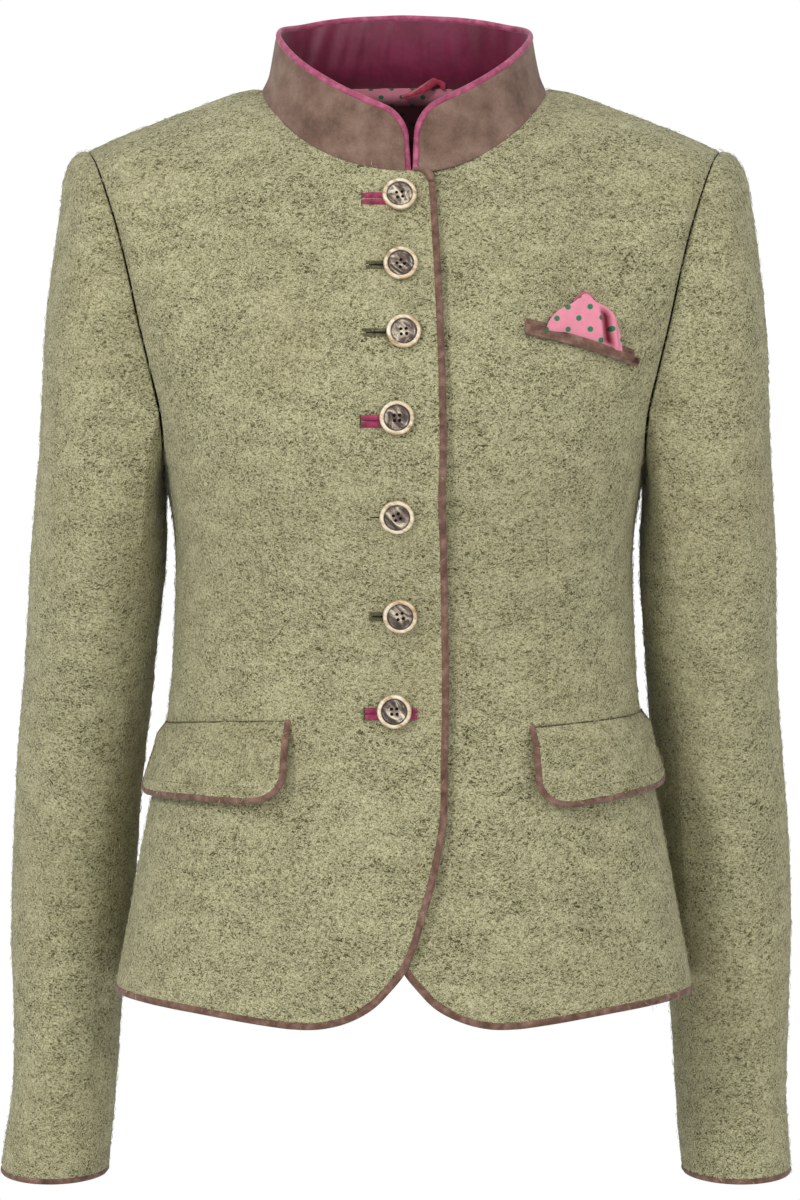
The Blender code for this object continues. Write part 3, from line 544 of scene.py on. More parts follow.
def place_on(panel, across, z, out=0.0, measure=None):
    """The point of a panel at a height and either an x or an azimuth, moved out, and its normal."""
    grid, normals = panel
    measure = measure or (lambda point: point[0])
    flat = grid.reshape(-1, 3)
    misses = [(measure(p) - across) ** 2 + (p[2] - z) ** 2 for p in flat]
    row, column = divmod(int(np.argmin(misses)), grid.shape[1])
    row, column = float(row), float(column)
    for _ in range(15):
        here = bilinear(grid, row, column)
        by_row = bilinear(grid, row + 0.02, column) - here
        by_column = bilinear(grid, row, column + 0.02) - here
        a = (measure(here + by_row) - measure(here)) / 0.02
        b = (measure(here + by_column) - measure(here)) / 0.02
        c, d = by_row[2] / 0.02, by_column[2] / 0.02
        miss = np.array([across - measure(here), z - here[2]])
        span = a * d - b * c
        if abs(span) < 1e-9:
            break
        row += 0.8 * (d * miss[0] - b * miss[1]) / span
        column += 0.8 * (a * miss[1] - c * miss[0]) / span
    normal = unit(bilinear(normals, row, column))
    return bilinear(grid, row, column) + normal * out, normal


def points_on(panel, places, out):
    """The points of a panel at a list of places across and up, moved out."""
    return np.array([place_on(panel, *place, out)[0] for place in places])


# Finer surfaces through the frame's own points


def reach_of(values):
    """The mean distance from row to row, added up."""
    steps = np.linalg.norm(np.diff(values, axis=0), axis=-1).reshape(len(values) - 1, -1).mean(1)
    return np.concatenate([[0], np.cumsum(steps)])


def stations(length, spacing, extra=()):
    """Distances across a piece, closer at both edges and where extra ones are given."""
    edge = np.array(EDGE_STEPS)
    count = max(2, int(round((length - 2 * edge[-1]) / spacing)))
    inner = np.linspace(edge[-1], length - edge[-1], count + 1)[1:-1]
    if len(extra):
        inner = inner[np.abs(inner[:, None] - np.array(extra)[None]).min(1) > spacing * 0.45]
    return np.sort(np.concatenate([edge, inner, length - edge, extra]))


def fine_grid(grid, normals, row_step, column_step):
    """The grid and its normals made finer, with the distance of each row and column from the ends."""
    down = reach_of(grid)
    across = reach_of(grid.swapaxes(0, 1))
    rows = stations(down[-1], row_step)
    columns = stations(across[-1], column_step)

    def both(values):
        made = curve_through(rows, down, values)
        return curve_through(columns, across, made.swapaxes(0, 1)).swapaxes(0, 1)

    return both(grid), unit(both(normals)), rows, columns


def rolled(distance, radius, amount):
    """How far a surface drops towards an edge as it rolls over it."""
    t = np.clip(1 - distance / radius, 0, 1)
    return amount * (1 - np.sqrt(1 - t * t))


def edge_drop(rows, columns, radius, amount, sides=("low", "high", "first", "last")):
    far = np.full(len(rows), 1e3)
    if "low" in sides:
        far = np.minimum(far, rows)
    if "high" in sides:
        far = np.minimum(far, rows[-1] - rows)
    wide = np.full(len(columns), 1e3)
    if "first" in sides:
        wide = np.minimum(wide, columns)
    if "last" in sides:
        wide = np.minimum(wide, columns[-1] - columns)
    return rolled(np.minimum(far[:, None], wide[None]), radius, amount)


WAVES = np.random.default_rng(7)


def wave_table(size, count=7):
    """The ways and starts of some waves of one size."""
    turns = WAVES.normal(size=(count, 3))
    turns /= np.linalg.norm(turns, axis=1, keepdims=True)
    return turns * 2 * np.pi / size, WAVES.uniform(0, 2 * np.pi, count)


BROAD = wave_table(95.0)
SMALL = wave_table(24.0)


def ripple(points, table):
    """Waves that run every way through space, taken at points."""
    turns, starts = table
    flat = points.reshape(-1, 3) @ turns.T + starts
    return (np.sin(flat).sum(1) / np.sqrt(len(starts))).reshape(points.shape[:-1])


def uneven(points, broad=0.5, small=0.12):
    """The slight unevenness of cloth that hangs freely."""
    return broad * ripple(points, BROAD) + small * ripple(points, SMALL)


# Meshes


def finish_mesh(name, points, faces, look, replaces=(), smooth_angle=0.9):
    mesh = bpy.data.meshes.new(name)
    mesh.from_pydata((np.asarray(points) * MM).tolist(), [], faces)
    mesh.materials.append(LOOKS[look])
    mesh.shade_smooth()
    mesh.set_sharp_from_angle(angle=smooth_angle)
    made = bpy.data.objects.new(name, mesh)
    bpy.context.scene.collection.objects.link(made)
    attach(made, "root")
    if replaces:
        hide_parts(*replaces)
    return made


def grid_faces(rows, columns):
    i, j = np.meshgrid(np.arange(rows - 1), np.arange(columns - 1), indexing="ij")
    a = i * columns + j
    return np.stack([a, a + 1, a + 1 + columns, a + columns], -1).reshape(-1, 4)


def wall(name, outer, inner, look, slot, replaces=()):
    """A closed wall between two grids of the same size."""
    rows, columns = outer.shape[:2]
    size = rows * columns
    points = np.concatenate([outer.reshape(-1, 3), inner.reshape(-1, 3)])
    top = grid_faces(rows, columns)
    faces = [top, top[:, ::-1] + size]
    j = np.arange(columns - 1)
    faces.append(np.stack([j + 1, j, j + size, j + 1 + size], -1))
    j = j + (rows - 1) * columns
    faces.append(np.stack([j, j + 1, j + 1 + size, j + size], -1))
    i = np.arange(rows - 1) * columns
    faces.append(np.stack([i, i + columns, i + columns + size, i + size], -1))
    i = i + columns - 1
    faces.append(np.stack([i + columns, i, i + size, i + columns + size], -1))
    faces = np.concatenate(faces)
    outward_way = (outer - inner)[rows // 2, columns // 2]
    a, b, _, d = top[(rows // 2) * (columns - 1) + columns // 2 - 1]
    facing = np.cross(points[b] - points[a], points[d] - points[a])
    if np.dot(facing, outward_way) < 0:
        faces = faces[:, ::-1]
    return finish_mesh(name, points, faces.tolist(), look, replaces)


def tube(name, line, sizes, look, replaces=(), closed=False, sides=10, up=None):
    """A cord along a line. Sizes are its half width along the way up and across it."""
    line = np.asarray(line, float)
    if closed:
        along = unit(np.roll(line, -1, 0) - np.roll(line, 1, 0))
    else:
        along = unit(np.gradient(line, axis=0))
    up = np.broadcast_to(np.asarray((0, 0, 1.0) if up is None else up, float), line.shape)
    up = unit(up - (up * along).sum(-1, keepdims=True) * along)
    across = np.cross(along, up)
    sizes = np.broadcast_to(np.asarray(sizes, float), (len(line), 2))
    turn = np.arange(sides) * 2 * np.pi / sides
    ring_points = (
        line[:, None]
        + up[:, None] * (np.cos(turn)[None, :, None] * sizes[:, 0, None, None])
        + across[:, None] * (np.sin(turn)[None, :, None] * sizes[:, 1, None, None])
    )
    count = len(line)
    points = ring_points.reshape(-1, 3)
    i, k = np.meshgrid(np.arange(count if closed else count - 1), np.arange(sides), indexing="ij")
    m = (i + 1) % count
    n = (k + 1) % sides
    faces = np.stack([i * sides + k, m * sides + k, m * sides + n, i * sides + n], -1)
    faces = faces.reshape(-1, 4)[:, ::-1].tolist()
    if not closed:
        faces.append(list(range(sides))[::-1])
        faces.append([(count - 1) * sides + k for k in range(sides)])
        middle = points[:sides].mean(0)
        first = np.array([points[k] for k in faces[-2][:3]])
        facing = np.cross(first[1] - first[0], first[2] - first[0])
        if np.dot(facing, line[1] - middle) > 0:
            faces = [list(reversed(f)) for f in faces]
    return finish_mesh(name, points, faces, look, replaces, 1.0)


def along_line(line, spacing):
    """A line walked again in even steps on a smooth curve through its points."""
    way = np.concatenate([[0], np.cumsum(np.linalg.norm(np.diff(line, axis=0), axis=1))])
    count = int(round(way[-1] / spacing))
    return curve_through(np.linspace(0, way[-1], count + 1), way, line)


# Materials


def new_look(name, roughness, sheen=0.0, specular=0.3, coat=0.0):
    """A material with its gloss set."""
    made = bpy.data.materials.new(name)
    made.use_nodes = True
    surface = made.node_tree.nodes["Principled BSDF"]
    surface.inputs["Roughness"].default_value = roughness
    surface.inputs["Specular IOR Level"].default_value = specular
    surface.inputs["Sheen Weight"].default_value = sheen
    surface.inputs["Sheen Roughness"].default_value = 0.5
    surface.inputs["Coat Weight"].default_value = coat
    surface.inputs["Coat Roughness"].default_value = 0.2
    return made


def colour(red, green, blue):
    """A colour given as it looks on a screen, 0 to 255."""
    value = np.array([red, green, blue]) / 255
    linear = np.where(value <= 0.04045, value / 12.92, ((value + 0.055) / 1.055) ** 2.4)
    return (*linear.tolist(), 1)


class Nodes:
    """Short ways to add nodes to a material. Colours are given as they look, 0 to 255."""

    def __init__(self, look):
        self.tree = look.node_tree
        self.surface = self.tree.nodes["Principled BSDF"]
        self.place = self.add("ShaderNodeTexCoord").outputs["Object"]

    def add(self, kind, inputs=None, **settings):
        made = self.tree.nodes.new(kind)
        for key, value in settings.items():
            setattr(made, key, value)
        for key, value in (inputs or {}).items():
            if isinstance(value, bpy.types.NodeSocket):
                self.tree.links.new(value, made.inputs[key])
            else:
                made.inputs[key].default_value = value
        return made

    def noise(self, scale, detail=2.0, roughness=0.5, distortion=0.0, place=None):
        inputs = {
            "Vector": place or self.place,
            "Scale": scale,
            "Detail": detail,
            "Roughness": roughness,
            "Distortion": distortion,
        }
        return self.add("ShaderNodeTexNoise", inputs).outputs["Fac"]

    def stretched(self, turn, size, place=None):
        """Coordinates turned, then divided by a size on each axis, in metres."""
        inputs = {"Vector": place or self.place, "Rotation": turn, "Scale": size}
        return self.add("ShaderNodeMapping", inputs, vector_type="TEXTURE").outputs["Vector"]

    def math(self, operation, first, second=0.0):
        return self.add("ShaderNodeMath", {0: first, 1: second}, operation=operation).outputs[0]

    def plus(self, first, second):
        return self.math("ADD", first, second)

    def minus(self, first, second):
        return self.math("SUBTRACT", first, second)

    def times(self, first, second):
        return self.math("MULTIPLY", first, second)

    def ramp(self, value, stops):
        made = self.add("ShaderNodeValToRGB", {"Fac": value})
        band = made.color_ramp
        while len(band.elements) < len(stops):
            band.elements.new(0.5)
        for element, (at, shade) in zip(band.elements, stops):
            element.position = at
            element.color = colour(*shade)
        return made.outputs["Color"]

    def mix(self, share, first, second, blend="MIX"):
        first, second = (colour(*s) if isinstance(s, tuple) else s for s in (first, second))
        inputs = {0: share, 6: first, 7: second}
        return self.add("ShaderNodeMix", inputs, data_type="RGBA", blend_type=blend).outputs[2]

    def level(self, value, low, high, out_low=0.0, out_high=1.0):
        inputs = {"Value": value, 1: low, 2: high, 3: out_low, 4: out_high}
        return self.add("ShaderNodeMapRange", inputs, interpolation_type="SMOOTHSTEP").outputs[0]

    def near(self, value, middle, width):
        """One where a value is at its middle, falling to zero at a width from it."""
        away = self.math("ABSOLUTE", self.minus(value, middle))
        return self.level(away, 0.0, width, 1.0, 0.0)

    def bump(self, height, strength, distance):
        inputs = {"Height": height, "Strength": strength, "Distance": distance * MM}
        return self.add("ShaderNodeBump", inputs).outputs["Normal"]

    def finish(self, shade, normal):
        self.tree.links.new(shade, self.surface.inputs["Base Color"])
        self.tree.links.new(normal, self.surface.inputs["Normal"])


FIBRE_TURNS = (0.35, 1.25, -0.5, -1.15)


def wool_look(name):
    """Heathered boiled wool: felted hairs that lie every way, lighter and darker ones mixed."""
    look = new_look(name, 0.95, sheen=0.12, specular=0.1)
    n = Nodes(look)
    waver = {"Vector": n.place, "Scale": 260.0, "Detail": 2.0}
    drift = n.add("ShaderNodeTexNoise", waver).outputs["Color"]
    bent = n.add("ShaderNodeVectorMath", {0: drift, "Scale": 0.0034}, operation="SCALE").outputs[0]
    moved = n.add("ShaderNodeVectorMath", {0: n.place, 1: bent}, operation="ADD").outputs[0]
    hairs = {}
    for k, turn in enumerate(FIBRE_TURNS):
        lying = n.stretched((0.3 * k, turn, 0.2 * k), (0.0062, 0.0021, 0.0017), moved)
        line = n.near(n.noise(1.0, 2.0, 0.6, place=lying), 0.5, 0.10)
        kind = "light" if k % 2 == 0 else "dark"
        hairs[kind] = n.math("MAXIMUM", hairs[kind], line) if kind in hairs else line
    fine = n.noise(1.0, 3.0, 0.65, place=n.stretched((0.0, 0.1, 0.0), (0.0022, 0.002, 0.0012), moved))
    grain = n.noise(1100.0, 2.0, 0.6)
    patch = n.noise(1.0, 3.0, 0.6, place=n.stretched((0.0, 0.0, 0.0), (0.030, 0.018, 0.013)))
    wide = n.noise(13.0, 2.0)
    value = n.plus(n.times(fine, 0.6), n.times(grain, 0.4))
    value = n.plus(value, n.times(n.minus(patch, 0.5), 0.34))
    shade = n.ramp(
        value,
        (
            (0.38, (72, 69, 40)),
            (0.46, (110, 106, 70)),
            (0.53, (140, 136, 98)),
            (0.63, (174, 170, 130)),
        ),
    )
    dark = n.times(hairs["dark"], n.level(patch, 0.40, 0.62, 0.95, 0.5))
    shade = n.mix(dark, shade, (66, 63, 36))
    light = n.mix(patch, (184, 180, 140), (212, 208, 172))
    pale = n.times(hairs["light"], n.level(grain, 0.40, 0.60, 0.45, 0.95))
    shade = n.mix(pale, shade, light)
    shade = n.mix(n.level(wide, 0.40, 0.66, 0.0, 0.14), shade, (158, 142, 104))
    raised = n.times(n.minus(hairs["light"], hairs["dark"]), 0.5)
    n.finish(shade, n.bump(n.plus(raised, value), 0.5, 0.5))
    return look


def plain_look(name, base, deep, light, scale, roughness, bump=0.2, **more):
    """A napped or woven surface with cloudy shades."""
    look = new_look(name, roughness, **more)
    n = Nodes(look)
    cloud = n.noise(scale, 3.0, 0.6)
    nap = n.noise(scale * 14, 2.0, 0.6)
    value = n.plus(n.times(cloud, 0.75), n.times(nap, 0.25))
    shade = n.ramp(value, ((0.34, deep), (0.5, base), (0.66, light)))
    n.finish(shade, n.bump(nap, bump, 0.2))
    return look


def dotted_look(name, deep):
    """Pink cotton with green dots, by the cloth's own coordinates. Painted shade, given as a point value,
    darkens it towards a deep colour.
    """
    look = new_look(name, 0.8, sheen=0.1, specular=0.2)
    n = Nodes(look)
    flat = n.add("ShaderNodeUVMap", uv_map="cloth").outputs["UV"]
    parts = n.add("ShaderNodeSeparateXYZ", {"Vector": flat})
    found = None
    for shift in (0.0, 0.5):
        x = n.plus(n.math("DIVIDE", parts.outputs[0], DOT_SPACING), shift)
        y = n.plus(n.math("DIVIDE", parts.outputs[1], DOT_SPACING), shift)
        x = n.minus(n.math("FRACT", x), 0.5)
        y = n.minus(n.math("FRACT", y), 0.5)
        away = n.math("SQRT", n.plus(n.times(x, x), n.times(y, y)))
        away = n.times(away, DOT_SPACING)
        one = n.level(away, DOT * 0.85, DOT * 1.1, 1.0, 0.0)
        found = one if found is None else n.math("MAXIMUM", found, one)
    weave = n.noise(1500.0, 1.0)
    pink = n.mix(n.noise(150.0, 3.0, 0.6), (212, 114, 138), (232, 146, 164))
    pink = n.mix(n.times(weave, 0.35), pink, (242, 176, 190))
    shade = n.mix(found, pink, (48, 122, 88))
    # painted shade: a point value multiplies the cloth towards its deep colour, where shade would fall
    painted_shade_amount = n.add("ShaderNodeAttribute", attribute_name="painted_shade_amount").outputs["Fac"]
    shade = n.mix(painted_shade_amount, shade, deep, "MULTIPLY")
    n.finish(shade, n.bump(weave, 0.3, 0.15))
    return look


def horn_look(name):
    """A horn button: a pale rim round a mottled brown dish."""
    look = new_look(name, 0.34, specular=0.5, coat=0.3)
    n = Nodes(look)
    radius = n.add("ShaderNodeAttribute", attribute_name="radius").outputs["Fac"]  # in millimetres
    drift = n.stretched((0.4, 0.7, 0.2), (0.013, 0.010, 0.006))
    streak = n.noise(1.0, 4.0, 0.65, 1.4, place=drift)
    fine = n.noise(520.0, 4.0, 0.65)
    streak = n.plus(n.times(streak, 0.86), n.times(fine, 0.14))
    dish = n.ramp(
        streak,
        (
            (0.40, (54, 41, 34)),
            (0.47, (96, 78, 66)),
            (0.52, (140, 124, 108)),
            (0.57, (182, 168, 146)),
            (0.64, (234, 224, 198)),
        ),
    )
    rim_tone = n.noise(1.0, 3.0, 0.6, place=n.stretched((0.0, 0.5, 0.0), (0.009, 0.007, 0.003)))
    rim = n.ramp(
        rim_tone,
        ((0.34, (172, 142, 104)), (0.47, (218, 198, 162)), (0.62, (240, 228, 202))),
    )
    shade = n.mix(n.level(radius, 7.7, 8.2), dish, rim)
    shade = n.mix(n.times(n.near(radius, 7.55, 0.75), 0.85), shade, (46, 34, 28))
    shade = n.mix(n.times(n.level(radius, 9.6, 10.4), 0.45), shade, (120, 92, 66))
    n.finish(shade, n.bump(fine, 0.2, 0.12))
    return look


# The plain looks: base, deep and light shade, the fineness of the clouds, roughness and the rest
PLAIN_LOOKS = {
    "suede": (
        (124, 99, 86), (100, 77, 66), (142, 118, 104), 60.0, 0.9,
        {"sheen": 0.2, "bump": 0.25, "specular": 0.12},
    ),
    "suede_piping": (
        (116, 87, 74), (86, 62, 51), (146, 116, 102), 150.0, 0.85, {"sheen": 0.15, "specular": 0.15},
    ),
    "dark_suede": ((88, 66, 56), (62, 44, 37), (112, 86, 74), 200.0, 0.9, {}),
    "satin": (
        (112, 24, 58), (94, 16, 44), (130, 34, 72), 30.0, 0.36,
        {"sheen": 0.25, "bump": 0.06, "specular": 0.6},
    ),
    "rose_piping": (
        (164, 70, 104), (132, 46, 78), (194, 100, 132), 140.0, 0.55, {"sheen": 0.25, "specular": 0.3},
    ),
    "rose_satin": (
        (146, 38, 78), (98, 22, 50), (172, 62, 102), 170.0, 0.5, {"sheen": 0.2, "specular": 0.35},
    ),
    "red_ribbon": (
        (164, 36, 66), (128, 24, 50), (198, 70, 100), 200.0, 0.4,
        {"sheen": 0.2, "bump": 0.15, "specular": 0.5},
    ),
    "wool_fibre": (
        (172, 168, 132), (92, 88, 58), (214, 211, 180), 420.0, 0.85,
        {"sheen": 0.1, "bump": 0.0, "specular": 0.1},
    ),
    "dark_seam": ((86, 81, 54), (66, 62, 40), (108, 102, 72), 300.0, 0.9, {}),
    "buttonhole_thread": ((96, 92, 64), (70, 67, 46), (128, 124, 94), 300.0, 0.85, {}),
    # near black: the sewing thread under the buttons, and painted shade in the stitched slits and between the
    # breast pocket's lips
    "dark_thread_and_painted_shade": ((22, 20, 18), (12, 11, 10), (34, 32, 28), 300.0, 0.9, {}),
}
LOOKS = {name: plain_look(name, *given[:-1], **given[-1]) for name, given in PLAIN_LOOKS.items()}
LOOKS["wool"] = wool_look("wool")
LOOKS["horn"] = horn_look("horn")
# the second colour is the painted shade's colour; the lining's is near black, for the collar's shade
LOOKS["dotted_cotton"] = dotted_look("dotted_cotton", (120, 40, 48))
LOOKS["dotted_lining_painted_shade"] = dotted_look("dotted_lining_painted_shade", (52, 22, 34))


# Fuzz


def fuzz(name, grid, normals, count, seed):
    """Short wool fibres that lie on the cloth and stand a little off it."""
    draw = np.random.default_rng(seed)
    cells = grid[:-1, :-1]
    right = grid[:-1, 1:] - cells
    down = grid[1:, :-1] - cells
    area = np.linalg.norm(np.cross(right, down), axis=-1).reshape(-1)
    chosen = draw.choice(len(area), count, p=area / area.sum())
    u = draw.uniform(size=(count, 1))
    v = draw.uniform(size=(count, 1))
    corner, right, down = (side.reshape(-1, 3)[chosen] for side in (cells, right, down))
    foot = corner + right * u + down * v
    normal = normals[:-1, :-1].reshape(-1, 3)[chosen]
    way = draw.normal(size=(count, 3))
    way = unit(way - (way * normal).sum(-1, keepdims=True) * normal)
    side = np.cross(normal, way)
    length = draw.uniform(2.5, 7.5, (count, 1))
    bend = draw.uniform(-0.16, 0.16, (count, 1)) * length
    lift = draw.uniform(0.1, 1.0, (count, 1)) ** 2 * 1.3
    radius = draw.uniform(0.09, 0.19, (count, 1))
    rings = []
    for t in (0.0, 0.5, 1.0):
        middle = foot + way * length * t + side * bend * 4 * t * (1 - t)
        middle = middle + normal * (lift * 2.4 * t * (1 - t) + lift * t * 0.5)
        for turn in (0.0, 2.1, 4.2):
            thin = radius * (1.0 if t == 0.5 else 0.4)
            rings.append(middle + (side * np.cos(turn) + normal * np.sin(turn)) * thin)
    points = np.stack(rings, 1).reshape(-1, 3)
    base = (np.arange(count) * 9)[:, None]
    faces = []
    for start in (0, 3):
        for k in range(3):
            n = (k + 1) % 3
            faces.extend((base + [start + k, start + n, start + 3 + n, start + 3 + k]).tolist())
    for end in ([2, 1, 0], [6, 7, 8]):
        faces.extend((base + end).tolist())
    return finish_mesh(name, points, faces, "wool_fibre")


# The garment


def dart_grid(grid, normals, row_step, column_step):
    """A front made finer, with a few columns that follow the waist dart."""
    down = reach_of(grid)
    across = reach_of(grid.swapaxes(0, 1))
    rows = stations(down[-1], row_step)
    tall = curve_through(rows, down, grid)
    tall_normals = curve_through(rows, down, normals)
    probe = np.linspace(0, across[-1], 160)  # places at which the dart is looked for
    probed = curve_through(probe, across, tall.swapaxes(0, 1)).swapaxes(0, 1)
    middle = probed[..., 2].mean(1)
    inside = (middle > DART_LOW) & (middle < DART_TOP)
    found = [np.interp(DART_X, np.abs(line[:, 0]) + np.arange(len(probe)) * 1e-6, probe) for line in probed]
    found = np.interp(np.arange(len(rows)), np.flatnonzero(inside), np.array(found)[inside])
    home = found.mean()
    beside = np.array([-6, -4, -2.6, -1.6, -0.9, -0.4, 0, 0.4, 0.9, 1.6, 2.6, 4, 6])
    columns = stations(across[-1], column_step, tuple(home + beside))
    shift = found - home
    bell = np.clip(1 - np.abs(columns - home) / (0.45 * across[-1]), 0, 1)
    at = columns[None] + shift[:, None] * (bell * bell * (3 - 2 * bell))[None]

    def by_row(values):
        return np.stack([curve_through(a, across, line) for a, line in zip(at, values)])

    made = by_row(tall)
    made_normals = unit(by_row(tall_normals))
    from_dart = np.abs(columns - home)[None]
    depth = step(middle, DART_LOW, DART_LOW + 25) * (1 - step(middle, DART_TOP - 50, DART_TOP))
    groove = 0.75 * np.exp(-((from_dart / 0.9) ** 2)) + 0.5 * np.exp(-((from_dart / 7) ** 2))
    groove = depth[:, None] * groove
    return made - made_normals * groove[..., None], made_normals, rows, columns


def from_ends(at):
    """How far each of some distances is from the nearer end."""
    return np.minimum(at - at[0], at[-1] - at)


def calm_edges(rows, columns, tall, wide):
    """One on a piece, falling to zero at its edges, where it has to meet the next."""
    return step(from_ends(rows), 0, tall)[:, None] * step(from_ends(columns), 0, wide)


def make_wool(name, fine, normals, waves, drop, fibres, seed):
    """A piece of wool from its fine grid, with its cut and its fuzz."""
    outer = fine + normals * (waves - drop)[..., None]
    inner = fine - normals * (WOOL - 0.2 - waves)[..., None]
    piece = wall(f"{name}_cloth", outer, inner, "wool", "wool", (name,))
    fuzz(f"{name}_fuzz", outer, normals, fibres, seed)


def threads(name, places, ways, ups, profile, radius, look):
    """Short threads in one mesh. The profile has places along a thread, its width and how far it dips."""
    turn = np.radians(np.arange(6) * 60)
    points = []
    faces = []
    for place, way, up in zip(places, ways, ups):
        side = np.cross(way, up)
        for row, (at, wide, dip) in enumerate(profile):
            middle = place + way * at - up * dip
            start = len(points)
            points.extend(middle + (up * np.cos(a) + side * np.sin(a)) * radius * wide for a in turn)
            if row == 0:
                faces.append([start + k for k in range(6)][::-1])
                continue
            for k in range(6):
                n = (k + 1) % 6
                faces.append([start - 6 + k, start - 6 + n, start + n, start + k])
        faces.append([start + k for k in range(6)])
    return finish_mesh(name, points, faces, look, (), 1.2)


def spread(values, count):
    """A column of vectors taken again at a number of even places."""
    at = np.linspace(0, len(values) - 1, count)
    return np.stack([np.interp(at, np.arange(len(values)), c) for c in np.asarray(values).T], -1)


def corner_line(grid):
    """The piping over the right front's upper corner, from under the collar round to its edge."""
    corner = grid[-1, 0]
    along_neck = unit(grid[-1, 1] - corner)
    down = unit(grid[-2, 0] - corner)
    out = np.array([0, -1.2, 0])
    start = corner + along_neck * (CORNER + 1.5) - down * 0.4 + out
    turn = np.radians(np.linspace(0, 90, 8))[:, None]
    centre = corner + along_neck * CORNER + down * CORNER
    arc = centre - down * (CORNER + 0.6) * np.cos(turn) - along_neck * (CORNER + 2.0) * np.sin(turn) + out
    return np.concatenate([[start], arc])


def give_values(obj, name, values):
    """A number for each of an object's points."""
    attribute = obj.data.attributes.new(name, "FLOAT", "POINT")
    attribute.data.foreach_set("value", np.asarray(values).astype(np.float32).ravel())


def free_edges(grid, normals):
    """Down one end, along the free edge and back up the other: the points, those inside them and normals."""
    edge = np.concatenate([grid[:, 0], grid[-1, 1:-1], grid[::-1, -1]])
    inside = np.concatenate([grid[:, 1], grid[-2, 1:-1], grid[::-1, -2]])
    inside[len(grid) - 1] = grid[-2, 1]
    inside[-len(grid)] = grid[-2, -2]
    return edge, inside, np.concatenate([normals[:, 0], normals[-1, 1:-1], normals[::-1, -1]])


def map_cloth(obj, flat):
    """The cloth's own coordinates in millimetres, the same on both faces."""
    both = np.concatenate([flat.reshape(-1, 2)] * 2)
    layer = obj.data.uv_layers.new(name="cloth")
    index = np.zeros(len(obj.data.loops), np.int32)
    obj.data.loops.foreach_get("vertex_index", index)
    layer.data.foreach_set("uv", both[index].astype(np.float32).reshape(-1))


def make_body_looks():
    """The fronts and backs. Returns their grids with normals, as the other pieces need them."""
    left_front = front_grid()
    left_back = back_grid()
    grids = [left_front, mirrored(left_front), left_back, mirrored(left_back)]
    normals = weld_normals(grids, [outward(g) for g in grids])
    names = ("left_front", "right_front", "left_back", "right_back")
    lifts = (-OVERLAP_LIFT, OVERLAP_LIFT, 0, 0)
    panels = {}
    for name, grid, found, lift in zip(names, grids, normals, lifts):
        side, half = name.split("_")
        if half == "front":
            grid = lifted(grid, found, lift)
            seams, piped, other, width = ("last", "high"), ("first", "low"), "back", 245.0
        else:
            seams, piped, other, width = ("first", "last", "high"), ("low",), "front", 230.0
        panels[name] = (stop_short(grid, seams), found)
        # the cloth of the scene meets its neighbours and reaches into its piping
        shown = stop_short(stop_short(grid, seams, -MEETS), piped, -TRIM_OVER)
        finer, column_step = (dart_grid, 4.0) if half == "front" else (fine_grid, 4.5)
        fine, fine_normals, rows, columns = finer(shown, found, 4.5, column_step)
        calm = calm_edges(rows, columns, 25, 25)
        waves = uneven(fine) * calm
        if name == "left_front":
            # it sinks a little beside the edge that lies over it
            beside = np.exp(-(((fine[..., 0] - 22) / 15) ** 2)) * calm
            waves = waves - 2.2 * beside * (1 - step(fine[..., 2], -120, -60))
        make_wool(
            name, fine, fine_normals, waves, edge_drop(rows, columns, 2.2, 0.9),
            FIBRES["body"], len(name) + len(panels),
        )
    return panels, left_front, left_back, normals[2]


def front_line(grid, normals):
    """The piping of a front, from the top of its front edge down and along the hem."""
    edge = np.concatenate([grid[::-1, 0], grid[0, 1:]])
    inside = np.concatenate([grid[::-1, 1], grid[1, 1:]])
    inside[len(grid) - 1] = grid[1, 1]
    found = np.concatenate([normals[::-1, 0], normals[0, 1:]])
    line = along_edge(edge, inside, found)
    line[-1] += (line[-2] - line[-1]) * 0.02
    return line, found


def make_trim_looks(panels):
    """The suede piping of the fronts and the back's hem."""
    for name in ("right_front", "left_front"):
        line, found = front_line(*panels[name])
        fine = along_line(line, 2.5)
        if name == "right_front":
            fine = np.concatenate([corner_line(panels[name][0]), fine[3:]])
        taper = 0.45 + 0.55 * step(np.arange(len(fine)), 0, 6)
        sizes = taper[:, None] * PIPING["front"]
        tube(
            f"{name}_piping_cloth", fine, sizes, "suede_piping", (f"{name}_piping",),
            up=spread(found, len(fine)), sides=12,
        )
    left, left_normals = panels["left_back"]
    right, right_normals = panels["right_back"]
    edge = np.concatenate([left[0, ::-1], right[0, 1:]])
    inside = np.concatenate([left[1, ::-1], right[1, 1:]])
    found = np.concatenate([left_normals[0, ::-1], right_normals[0, 1:]])
    line = along_line(along_edge(edge, inside, found), 2.5)
    tube(
        "back_hem_piping_cloth", line, PIPING["hem"], "suede_piping", ("back_hem_piping",),
        up=spread(found, len(line)), sides=12,
    )


